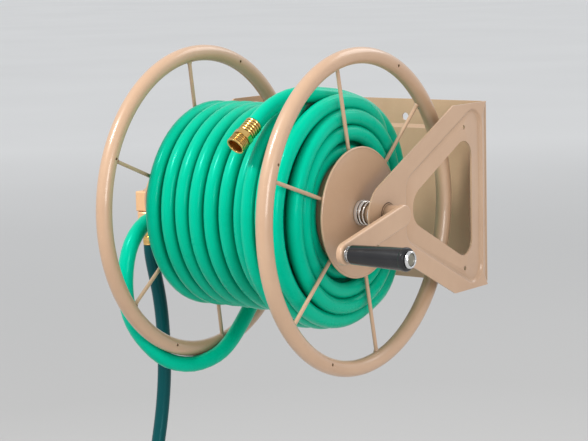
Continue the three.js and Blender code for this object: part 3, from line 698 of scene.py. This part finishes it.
def arm_outline():
    """From the axle, as (towards the wall, up)."""
    corner = 0.004
    thins = (0, 0.3, 0.6, 0.8, 0.92, 1)  # shares of the bend, for points along its ends
    far = math.hypot(ARM_TOP, PLATE_HALF_HEIGHT)
    tangent = math.atan2(PLATE_HALF_HEIGHT, ARM_TOP) + math.acos(ARM_NOSE / far)
    points = arc((0, 0), ARM_NOSE, tangent, 2 * math.pi - tangent, 32)
    at = (ARM_TOP + corner, corner - PLATE_HALF_HEIGHT)
    points += arc(at, corner, -2.2, -QUARTER, 3)
    points += [(ARM_WALL - ARM_BEND * (1 - t), -PLATE_HALF_HEIGHT) for t in thins]
    points += [(ARM_WALL - ARM_BEND * (1 - t), PLATE_HALF_HEIGHT) for t in reversed(thins)]
    at = (ARM_TOP + corner, PLATE_HALF_HEIGHT - corner)
    points += arc(at, corner, QUARTER, 2.2, 3)
    return points


def window_outline():
    lean = math.atan(WINDOW_SLOPE)
    tip = WINDOW_START + WINDOW_FRONT_ROUND / math.sin(lean)
    corner = WINDOW_RIGHT - WINDOW_ROUND
    height = WINDOW_SLOPE * (corner - WINDOW_START) - WINDOW_ROUND / math.cos(lean)
    points = arc((tip, 0), WINDOW_FRONT_ROUND, QUARTER + lean, 3 * QUARTER - lean, 14)
    points += arc((corner, -height), WINDOW_ROUND, 3 * QUARTER - lean, 4 * QUARTER, 12)
    points += arc((corner, height), WINDOW_ROUND, 0, QUARTER + lean, 12)
    return points


def recess_outline(inset):
    lean = math.atan(RECESS_SLOPE)
    radius = RECESS_ROUND - inset
    near, far = RECESS_LEFT + RECESS_ROUND, RECESS_RIGHT - RECESS_ROUND

    def height(y):
        return RECESS_SLOPE * (y - RECESS_START) - RECESS_ROUND / math.cos(lean)

    points = arc((near, height(near)), radius, QUARTER + lean, 2 * QUARTER, 8)
    points += arc((near, -height(near)), radius, 2 * QUARTER, 3 * QUARTER - lean, 8)
    points += arc((far, -height(far)), radius, 3 * QUARTER - lean, 4 * QUARTER, 12)
    points += arc((far, height(far)), radius, 0, QUARTER + lean, 12)
    return points


def holds(loop, at):
    """Whether a closed loop goes round a point."""
    inside = False
    for (ax, ay), (bx, by) in zip(loop, loop[1:] + loop[:1]):
        if (ay > at[1]) != (by > at[1]):
            if at[0] < ax + (bx - ax) * (at[1] - ay) / (by - ay):
                inside = not inside
    return inside


def pressed_sheet(name, outline, holes, steps, rise, lift, to_place):
    """A sheet with a pressed step, cut from an outline.

    Steps are loops from the outside of the step inwards, and the area in the last one is raised
    by the whole rise. Lift is what else raises a point, and to_place makes it a point in space.
    """
    loops = [outline, *holes, *steps]
    heights = [0.0] * (1 + len(holes)) + [rise * share for share in PRESSING]
    flat = [Vector(p) for loop in loops for p in loop]
    edges = []
    base = []
    for loop, height in zip(loops, heights):
        first = len(base)
        edges += [(first + k, first + (k + 1) % len(loop)) for k in range(len(loop))]
        base += [height] * len(loop)
    made = delaunay_2d_cdt(flat, edges, [], 1, 1e-6)
    spots = [tuple(p) for p in made[0]]
    raised = []
    raised_holes = [loop for loop in holes if holds(steps[-1], loop[0])]
    for spot, sources in zip(spots, made[3]):
        inside = rise if holds(steps[-1], spot) else 0.0
        on_hole = any(spot in loop for loop in raised_holes)
        known = base[sources[0]] if sources else inside
        raised.append((inside if on_hole else known) + lift(spot))
    faces = []
    for face in made[2]:
        middle = tuple(sum(spots[k][axis] for k in face) / len(face) for axis in (0, 1))
        if holds(outline, middle) and not any(holds(loop, middle) for loop in holes):
            faces.append(tuple(face))
    count = len(spots)
    points = [to_place(*spot, height) for spot, height in zip(spots, raised)]
    points += [to_place(*spot, height - SHEET) for spot, height in zip(spots, raised)]
    used = {}
    for face in faces:
        for a, b in zip(face, face[1:] + face[:1]):
            used[(a, b)] = used.get((a, b), 0) + 1
    walls = [(b, a, a + count, b + count) for (a, b) in used if (b, a) not in used]
    backs = [tuple(k + count for k in reversed(face)) for face in faces]
    piece = add_piece(name, mesh_of(name, points, faces + backs + walls), "bracket", tan)
    weld(piece)
    for face in piece.data.polygons:
        face.use_smooth = max(abs(face.normal.x), abs(face.normal.y)) < FLAT_FACE
    add_bevel(piece, 0.0007, 3)
    return piece


def step_insets(sheet):
    """How far each loop of a pressed step lies inside its outline."""
    start, width = STEP_EDGES[sheet]
    return [start + width * k / (len(PRESSING) - 1) for k in range(len(PRESSING))]


def add_wall_plate():
    across, up, radius = PLATE_HOLE
    holes = [circle((x * across, z * up), radius, 24) for x in (-1, 1) for z in (-1, 1)]
    panel = (PANEL_HALF_WIDTH, PANEL_HALF_HEIGHT, PANEL_ROUND)
    insets = step_insets("plate")
    steps = [rounded_rectangle(*(size - inset for size in panel)) for inset in insets]
    piece = pressed_sheet(
        "wall_plate_sheet",
        rounded_rectangle(PLATE_HALF_WIDTH, PLATE_HALF_HEIGHT, PLATE_ROUND),
        holes,
        steps,
        PANEL_RISE,
        lambda at: 0.0,
        lambda x, z, height: Vector((x, -SHEET - height, z)),
    )
    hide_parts("wall_plate")


def add_side_arm(name, side):
    across, up, radius = ARM_HOLE
    holes = [window_outline(), circle((0, 0), ARM_BORE, 40)]
    holes += [circle((across, z * up), radius, 20) for z in (-1, 1)]

    def bent(at):
        past = max(0.0, at[0] - (ARM_WALL - ARM_BEND))
        return math.sqrt(max(0.0, ARM_BEND**2 - past**2)) - ARM_BEND

    piece = pressed_sheet(
        f"side_arm_{name}_sheet",
        arm_outline(),
        holes,
        [recess_outline(inset) for inset in step_insets("arm")],
        -RECESS_DEPTH,
        bent,
        lambda y, z, height: Vector((side * (ARM_FACE + height), AXLE_Y + y, z)),
    )
    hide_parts(f"side_arm_{name}")
    add_flange(name, side)


def add_flange(name, side):
    """The strip of the arm that is turned in along the wall plate."""
    front = -2 * SHEET - 0.0005
    inner, outer = ARM_FACE - FLANGE, ARM_FACE - SHEET - GAP
    section = softened(
        [(inner, front), (outer, front), (outer, front + SHEET), (inner, front + SHEET)],
        0.0008,
        True,
    )
    top = PLATE_HALF_HEIGHT - FLANGE_SHORT
    rings = [[Vector((side * x, y, z)) for x, y in section] for z in (-top, top)]
    name = f"side_arm_{name}_flange"
    piece = add_piece(name, rod_mesh(name, rings), "bracket", tan)
    weld(piece)
    add_bevel(piece, 0.0006)
    add_normals(piece)


def add_bush(name, side):
    inner, outside = AXLE_RADIUS + GAP, ARM_FACE + 0.0008
    flange = ARM_FACE - SHEET - GAP
    outline = [
        (inner, side * outside),
        (0.0150, side * outside),
        (0.0150, side * flange),
        (0.021, side * flange),
        (0.021, side * (flange - 0.003)),
        (inner, side * (flange - 0.003)),
    ]
    at = (0, AXLE_Y, 0)
    lathe(f"bush_{name}_ring", f"bearing_bush_{name}", outline, at, ALONG, "bracket", bush_tan)


add_wall_plate()
for side_name, side_sign in SIDES.items():
    add_side_arm(side_name, side_sign)
    add_bush(side_name, side_sign)

# ---- rims, discs, spokes and drum ----
DISC_RADIUS = 0.0884
DISC_SHEET = 0.0025
SPOKES = 6
SPOKE_RADIUS = 0.0027
SPOKE_INNER = 0.075
WELD = 0.007  # length of the flared weld at a spoke's outer end
WELD_FLARE = 0.75  # how much thicker a spoke gets in its weld
VENT_RADIUS = 0.0021
DISC_EDGE = 0.0019  # radius of a disc's rolled edge


def cut(piece, tools):
    """Cuts the tools out of a piece and removes them."""
    for tool in tools:
        modifier = piece.modifiers.new("cut", "BOOLEAN")
        modifier.operation = "DIFFERENCE"
        modifier.solver = "EXACT"
        modifier.object = tool
    bpy.context.view_layer.update()
    seen = piece.evaluated_get(bpy.context.evaluated_depsgraph_get())
    mesh = bpy.data.meshes.new_from_object(seen)
    piece.modifiers.clear()
    piece.data = mesh
    for tool in tools:
        bpy.data.objects.remove(tool)


def vent_tool(at, away):
    """A plain round cutter."""
    across = away.orthogonal().normalized()
    beside = away.cross(across)
    ends = (-0.006, 0.004)
    rings = [ring_round(at + away * x, across, beside, VENT_RADIUS, 20) for x in ends]
    tool = add_object("vent_tool", rod_mesh("vent_tool", rings))
    weld(tool)
    return tool


def add_rim(name, side):
    outline = circle((RIM_RADIUS, 0), RIM_TUBE, 36)
    at = reel_point(side * RIM_PLANE, 0, 0)
    piece = lathe(f"rim_{name}_tube", None, outline, at, ALONG, "reel", tan, 0, 180)
    tools = []
    for k in range(VENTS):
        degrees = VENT_START[name] + 360 * k / VENTS
        spot = on_reel(side * RIM_PLANE + RIM_TUBE, RIM_RADIUS - 0.001, degrees)
        tools.append(vent_tool(spot, ALONG))
    piece.modifiers.clear()
    cut(piece, tools)
    piece.data.set_sharp_from_angle(angle=math.radians(40))
    add_normals(piece)
    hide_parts(f"rim_{name}")


def add_disc(name, side):
    half = DISC_SHEET / 2
    bore = AXLE_RADIUS + GAP
    edge = DISC_RADIUS - DISC_EDGE
    outline = [(bore, -half), (0.030, -half), (edge - 0.0035, -half)]
    outline += arc((edge, 0), DISC_EDGE, -0.75 * math.pi, 0.75 * math.pi, 14)
    outline += [(edge - 0.0035, half), (0.030, half), (bore, half)]
    at = reel_point(side * RIM_PLANE, 0, 0)
    node = f"hub_disc_{name}"
    lathe(f"{node}_plate", node, outline, at, ALONG, "reel", tan_without_wide_shade, 0.0003, 120)


def add_spoke(name, side, number):
    degrees = SPOKE_START[name] + 360 * number / SPOKES
    x = side * (RIM_PLANE - DISC_SHEET / 2 - GAP - SPOKE_RADIUS)
    stop = RIM_RADIUS - RIM_TUBE + 0.003
    reaches = list(np.linspace(SPOKE_INNER, stop - WELD, 10))
    reaches += list(np.linspace(stop - WELD, stop, 7))[1:]
    way = [on_reel(x, reach, degrees) for reach in reaches]
    flares = [1 + WELD_FLARE * max(0.0, (reach - stop + WELD) / WELD) ** 2 for reach in reaches]
    node = f"spoke_{name}_{number + 1}"
    sweep(f"{node}_rod", [node], way, SPOKE_RADIUS, "reel", tan, 16, flares)


for side_name, side_sign in SIDES.items():
    add_rim(side_name, side_sign)
    add_disc(side_name, side_sign)
    for spoke_number in range(SPOKES):
        add_spoke(side_name, side_sign, spoke_number)

# ---- axle, spring and hub outlet ----
SPRING_RADIUS = 0.0149
SPRING_WIRE = 0.0015
SPRING_LENGTH = 0.0325
SPRING_COILS = 6
COLLAR_START = RIM_PLANE + DISC_SHEET / 2 + GAP
COLLAR = 0.005
COLLAR_RADIUS = 0.017
COLLAR_LIP = 0.0012
AXLE_LEFT = -0.2405
AXLE_RIGHT = 0.2043
AXLE_BORE = 0.0104
BORE_END = OUTLET_X + 0.02


def add_axle():
    outline = [(0, AXLE_RIGHT), (AXLE_RADIUS, AXLE_RIGHT), (AXLE_RADIUS, AXLE_LEFT)]
    outline += [(AXLE_BORE, AXLE_LEFT), (AXLE_BORE, BORE_END), (0, BORE_END)]
    lathe("axle_tube", "axle_pipe", outline, reel_point(0, 0, 0), ALONG, "reel", tan, 0.0006, 48)


def add_collar():
    end = COLLAR_START + COLLAR
    cup = end - 0.0015
    inner, lip = AXLE_RADIUS + GAP, COLLAR_RADIUS - COLLAR_LIP
    outline = [(inner, COLLAR_START), (COLLAR_RADIUS, COLLAR_START), (COLLAR_RADIUS, end)]
    outline += [(lip, end), (lip, cup), (inner, cup)]
    lathe("collar_cup", "spring_collar", outline, reel_point(0, 0, 0), ALONG, "reel", zinc, 0.0006)


def add_spring():
    start = COLLAR_START + COLLAR + GAP + SPRING_WIRE
    stop = start + SPRING_LENGTH - 2 * SPRING_WIRE
    last = 360 * SPRING_COILS
    # Its end coils lie flat, and the others are spread between them.
    turned = (0, 300, 780, last - 780, last - 300, last)
    at = (start, start + 0.0004, start + 0.008, stop - 0.008, stop - 0.0004, stop)
    way = []
    for wound in range(0, last + 1, 10):
        way.append(on_reel(float(np.interp(wound, turned, at)), SPRING_RADIUS, wound))
    sweep("spring_coil", ["axle_spring"], way, SPRING_WIRE, "reel", spring_steel, 14)


def add_outlet():
    at = reel_point(OUTLET_X, 0, 0)
    way = on_reel(0, 1, -OUTLET_ANGLE) - on_reel(0, 0, 0)
    stub = [(WATERWAY, 0.0128), (0.011, 0.0128), (0.011, 0.026), (0.013, 0.027)]
    stub += [(0.013, 0.038), (WATERWAY, 0.038)]
    lathe("outlet_stub_pipe", "axle_outlet_stub", stub, at, way, "reel", brass, 0.0005, 48)
    nut = [(WATERWAY, 0.0384), (0.0165, 0.0384), (0.017, 0.0400), (0.017, 0.054), (0.0162, 0.0565)]
    nut += [(0.0130, 0.059), (0.0125, 0.0605)]
    for rib in range(5):
        start = 0.0615 + 0.0034 * rib
        nut += [(0.0118, start), (0.0125, start + 0.001), (0.0125, start + 0.0026)]
    nut += [(0.0118, 0.0795), (WATERWAY, 0.0795)]
    shape = (0.0004, 96, (8, 0.0150, 0.0161))
    lathe("inlet_coupling_nut", "hose_inlet_coupling", nut, at, way, "reel", brass, *shape)


add_axle()
add_collar()
add_spring()
add_outlet()

# ---- crank and grip ----
CRANK_REACH = 0.133
CRANK_DROP = 0.0325
CRANK_HALF_WIDTH = 0.0145
CRANK_DEPTH = 0.008
CRANK_SHEET = 0.0024
CRANK_FACE = 0.207
CRANK_SHOULDER = 0.0026
PIVOT = reel_point(0, -CRANK_REACH, -CRANK_DROP)
CRANK_EDGE = 0.0004  # bevel of the channel's open edge
SHOULDER_STEPS = 8
WASHER_START = CRANK_FACE + GAP
WASHER_END = WASHER_START + 0.0054
GRIP_START = WASHER_END + GAP
GRIP_END = GRIP_START + 0.086
NUT_END = CRANK_FACE - CRANK_SHEET - GAP
NUT_START = NUT_END - 0.005
BOLT_RADIUS = 0.004


def crank_loop(inset, x):
    radius = CRANK_HALF_WIDTH - inset
    up = QUARTER + math.atan2(CRANK_DROP, CRANK_REACH)
    points = arc((0, 0), radius, up - math.pi, up, 28)
    points += arc((-CRANK_REACH, -CRANK_DROP), radius, up, up + math.pi, 28)
    return [reel_point(x, y, z) for y, z in points]


def add_crank():
    back = CRANK_FACE - CRANK_DEPTH
    rings = [
        crank_loop(CRANK_SHEET, CRANK_FACE - CRANK_SHEET),
        crank_loop(CRANK_SHEET, back),
        crank_loop(CRANK_EDGE, back),
        crank_loop(0, back + CRANK_EDGE),
    ]
    for k in range(SHOULDER_STEPS + 1):
        angle = QUARTER * k / SHOULDER_STEPS
        inset = CRANK_SHOULDER * (1 - math.cos(angle))
        rings.append(crank_loop(inset, CRANK_FACE - CRANK_SHOULDER * (1 - math.sin(angle))))
    piece = add_piece("crank_channel", rod_mesh("crank_channel", rings), "reel", tan_without_wide_shade, 50)
    weld(piece)
    add_normals(piece)
    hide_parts("crank_arm")


def add_grip_pieces():
    at = Vector((REEL_X, PIVOT.y, PIVOT.z))
    start, stop = WASHER_START, WASHER_END
    hole = BOLT_RADIUS + GAP
    washer = [(hole, start), (0.0100, start), (0.0100, start + 0.0016), (0.0086, start + 0.0019)]
    washer += [(0.0086, stop - 0.0017), (0.0098, stop - 0.0015), (0.0098, stop), (hole, stop)]
    lathe("grip_washer_stack", "grip_washer", washer, at, ALONG, "reel", chrome, 0.0003)
    start, stop = GRIP_START, GRIP_END
    grip = [(0.0046, start), (0.0110, start), (0.0124, start + 0.0018), (0.0127, start + 0.012)]
    grip += [(0.0141, start + 0.060), (0.0144, stop - 0.0075), (0.0151, stop - 0.0062)]
    grip += [(0.0152, stop - 0.0028), (0.0144, stop - 0.0008), (0.0126, stop), (0.0046, stop)]
    lathe("grip_handle", "crank_grip", grip, at, ALONG, "grip", black, 0.0009, 96)
    end = NUT_START - 0.001
    cap = GRIP_END + GAP
    bolt = [(0, end), (BOLT_RADIUS, end), (BOLT_RADIUS, cap), (0.0110, cap)]
    bolt += [(0.0112, cap + 0.0012), (0.0108, cap + 0.0036), (0.0096, cap + 0.0046)]
    bolt += [(0.0084, cap + 0.0042)]
    bolt += [(0.0078, cap + 0.0026), (0, cap + 0.0026)]
    lathe("grip_bolt_and_cap", "grip_bolt", bolt, at, ALONG, "reel", chrome, 0.0004, 72)
    insert = [(0, cap + 0.0026), (0.0076, cap + 0.0026), (0.0074, cap + 0.0031)]
    insert += [(0.0050, cap + 0.0035), (0, cap + 0.0036)]
    lathe("grip_cap_insert", None, insert, at, ALONG, "reel", dull_steel, 0.0002)
    nut = [(hole, NUT_START), (0.0072, NUT_START), (0.008, NUT_START + 0.0008)]
    nut += [(0.008, NUT_END - 0.0008), (0.0072, NUT_END), (hole, NUT_END)]
    shape = (0.0001, 72, (6, 0.006, 0.0069))
    lathe("grip_hex_nut", "grip_nut", nut, at, ALONG, "reel", chrome, *shape)


add_crank()
add_grip_pieces()

# ---- water inlet and the leader's fittings ----
INLET_SIZE = 0.029
INLET_LEFT = -0.2495
INLET_DROP = 0.0054
INLET_BOTTOM = -INLET_DROP - INLET_SIZE / 2
PLUG_PROUD = 0.0012
PLUG_SLOT = (0.0012, 0.0014, 0.009)
FERRULE_START = 0.0223  # below the inlet
FERRULE_END = -0.069


def block(name, middle, size, bevel=0.0):
    """The mesh of a box, with its edges rounded by the bevel."""
    made = bmesh.new()
    bmesh.ops.create_cube(made, size=1)
    for vertex in made.verts:
        vertex.co = middle + vertex.co * Vector(size)
    if bevel:
        edges = made.edges[:]
        bmesh.ops.bevel(made, geom=edges, offset=bevel, segments=3, profile=0.6, affect="EDGES")
    mesh = bpy.data.meshes.new(name)
    made.to_mesh(mesh)
    made.free()
    return mesh


def add_inlet():
    middle = reel_point(INLET_LEFT + INLET_SIZE / 2, 0, -INLET_DROP)
    cube = block("inlet_block", middle, [INLET_SIZE] * 3, 0.0022)
    piece = add_piece("inlet_block", cube, "bracket", cast_brass)
    add_normals(piece)
    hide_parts("inlet_swivel")
    bore = AXLE_RADIUS + GAP
    neck = [(bore, 0.027), (0.0165, 0.027), (0.017, 0.029), (0.017, 0.0375), (0.0165, 0.038)]
    neck += [(bore, 0.038)]
    lathe("inlet_neck", None, neck, reel_point(INLET_LEFT, 0, 0), ALONG, "bracket", brass)
    at = reel_point(INLET_LEFT, 0, -INLET_DROP)
    plug = [(0, 0.001), (0.006, 0.001), (0.006, -0.0008), (0.0054, -PLUG_PROUD), (0, -PLUG_PROUD)]
    piece = lathe("inlet_plug", None, plug, at, ALONG, "bracket", black, 0.0003, 48)
    slot = block("slot_tool", at - ALONG * PLUG_PROUD, PLUG_SLOT)
    piece.modifiers.clear()
    cut(piece, [add_object("slot_tool", slot)])
    add_normals(piece)


def add_leader_fittings():
    down = Vector((0, 0, -1))
    top = INLET_BOTTOM - GAP
    at = reel_point(LEADER_X, 0, top)
    nut = [(WATERWAY, 0), (0.0155, 0), (0.019, 0.0018), (0.019, 0.0170), (0.0165, 0.0192)]
    nut += [(0.0152, 0.022), (WATERWAY, 0.022)]
    shape = (0.0003, 96, (6, 0.0160, 0.0166))
    lathe("leader_nut_hex", "leader_swivel_nut", nut, at, down, "bracket", cast_brass, *shape)
    start, stop = FERRULE_START, top - FERRULE_END
    ferrule = [(0.006, start), (0.0085, start), (0.0085, stop - 0.0125), (0.0104, stop - 0.0118)]
    ferrule += [(0.0106, stop - 0.0100), (0.0101, stop - 0.0085), (0.0106, stop - 0.0070)]
    ferrule += [(0.0106, stop - 0.0030), (0.0101, stop - 0.0020), (0.0106, stop - 0.0008)]
    ferrule += [(0.0104, stop), (0.006, stop)]
    lathe("leader_ferrule_ring", "leader_ferrule", ferrule, at, down, "bracket", brass, 0.0002)
    end = leader_line[-1]
    way = (end - leader_line[-2]).normalized()
    coupling = [(WATERWAY, GAP), (0.0113, GAP)]
    for rib in range(3):
        start = 0.001 + 0.0042 * rib
        coupling += [(0.0115, start), (0.0109, start + 0.0016), (0.0115, start + 0.0034)]
    coupling += [(0.013, 0.016), (0.015, 0.018), (0.015, 0.0390), (0.0144, 0.040)]
    coupling += [(0.0128, 0.040), (0.0125, 0.0390), (0.0125, 0.026), (WATERWAY, 0.026)]
    name, node = "leader_coupling_nut", "leader_end_coupling"
    shape = (0.0003, 96, (8, 0.0140, 0.0143))
    lathe(name, node, coupling, end, way, "bracket", brass, *shape)


def add_hose_fitting():
    end = hose_line[-1]
    way = (end - hose_line[-2]).normalized()
    outline = [(WATERWAY, GAP)]
    for rib in range(5):
        start = GAP + 0.0042 * rib
        outline += [(0.0104, start), (0.0117, start + 0.0009), (0.0121, start + 0.0020)]
        outline += [(0.0117, start + 0.0031), (0.0104, start + 0.0040)]
    outline += [(0.0104, 0.0216), (0.0134, 0.0220), (0.0134, 0.0290), (0.0126, 0.0296)]
    outline += [(0.0114, 0.0299), (0.0114, 0.0306)]
    for thread in range(4):
        start = 0.0310 + 0.0026 * thread
        outline += [(0.0115, start), (0.0129, start + 0.0009), (0.0115, start + 0.0019)]
    outline += [(0.0115, 0.0414), (0.0128, 0.0420), (0.0129, 0.0434), (0.0123, 0.0440)]
    outline += [(0.0110, 0.0440), (0.0105, 0.0434), (0.0105, 0.030), (WATERWAY, 0.030)]
    shape = (0.00025, 96, (6, 0.0130, 0.0120))
    lathe("hose_fitting_turned", "hose_end_fitting", outline, end, way, "reel", brass, *shape)
    # A dark brass sleeve inside the fitting's mouth, painted shade where the bore lies in shadow.
    shade_sleeve = [(0.003, 0.0303), (0.0104, 0.0303), (0.0104, 0.0428), (0.0100, 0.0428)]
    shade_sleeve += [(0.0096, 0.0322), (0.003, 0.0322)]
    lathe("hose_fitting_bore", None, shade_sleeve, end, way, "reel", brass_in_painted_shade, 0.0002, 48)


TIE_PLACES = (20, 100)  # degrees wound, where the coil's two turns lie side by side
TIE_WIDTH = 0.014
TIE_THICK = 0.0014
TIE_PLAY = 0.0004  # between the strap and the hose


def add_tie(number, wound):
    """A strap round two turns of the coil."""
    outward = (on_coil(0, wound, COIL_RADIUS + 1) - on_coil(0, wound)).normalized()
    across = outward.cross(ALONG)
    at = on_coil(0, wound)

    def loop(reach):
        points = arc((0, 0), reach, QUARTER, 3 * QUARTER, 14)
        return points + arc((COIL_LANE, 0), reach, -QUARTER, QUARTER, 14)

    inner = LEADER_RADIUS + TIE_PLAY
    rings = []
    for near, far in zip(loop(inner), loop(inner + TIE_THICK)):
        section = []
        for share, (x, out) in ((-1, near), (-1, far), (1, far), (1, near)):
            section.append(at + ALONG * x + outward * out + across * (share * TIE_WIDTH / 2))
        rings.append(section)
    points = [p for ring in rings for p in ring]
    name = f"leader_tie_{number}"
    piece = add_piece(name, mesh_of(name, points, skin(rings, True)), "bracket", strap)
    weld(piece)
    add_bevel(piece, 0.0004)
    add_normals(piece)


add_inlet()
add_leader_fittings()
add_hose_fitting()
for tie_number, tie_place in enumerate(TIE_PLACES, 1):
    add_tie(tie_number, tie_place)

drum_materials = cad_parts["drum"].data.materials
drum_materials.clear()
drum_materials.append(tan)

# ---- floor and light ----
FLOOR_Z = -0.602
FLOOR_RADII = (0.0, 4.0, 12.0, 60.0)
MIDDLE = (0.0, -0.25, 0.0)  # what the lights point at


def paper_surface():
    """Pale paper, a little greyer near the reel than far from it."""
    made = Surface("pale_paper", 0.9, specular=0.1)
    dark, light = (0.87, 0.865, 0.86), (0.9, 0.895, 0.89)
    colour = made.ramp(made.noise(0.6, 2), (0.3, dark), (0.7, light))
    distance = made.add("VectorMath")
    distance.operation = "LENGTH"
    made.link(made.where, distance.inputs[0])
    near = made.levels(distance.outputs["Value"], 1, 0, 1.5, 7.0)
    colour = made.mixed(near, colour, (0.5, 0.495, 0.49))
    made.bump(made.noise(60, 3), 0.05, 0.002)
    return made.finish(colour)


def add_floor():
    at, across, beside = Vector((0, 0, FLOOR_Z)), Vector((1, 0, 0)), Vector((0, 1, 0))
    rings = [ring_round(at, across, beside, radius, 64) for radius in FLOOR_RADII]
    mesh = mesh_of("floor", [p for ring in rings for p in ring], skin(rings, False))
    mesh.materials.append(paper_surface())
    add_object("floor", mesh)


def add_light(name, at, size, power, colour=(1, 1, 1)):
    data = bpy.data.lights.new(name, "AREA")
    data.shape = "SQUARE"
    data.size = size
    data.energy = power
    data.color = colour
    light = add_object(name, data)
    light.location = at
    light.rotation_euler = (Vector(MIDDLE) - Vector(at)).to_track_quat("-Z", "Y").to_euler()


def add_sky():
    world = bpy.data.worlds.new("sky")
    world.use_nodes = True
    background = world.node_tree.nodes["Background"]
    background.inputs["Color"].default_value = (0.86, 0.88, 0.9, 1)
    background.inputs["Strength"].default_value = 0.84
    bpy.context.scene.world = world


bpy.context.scene.view_settings.view_transform = "Standard"
add_floor()
add_sky()
add_light("key", (-0.6, -2.2, 2.2), 0.7, 66, (1.0, 0.985, 0.96))
add_light("fill", (2.6, -1.8, 0.6), 1.2, 31, (1.0, 0.98, 0.96))
add_light("back", (0.6, 1.8, 1.8), 1.5, 16)
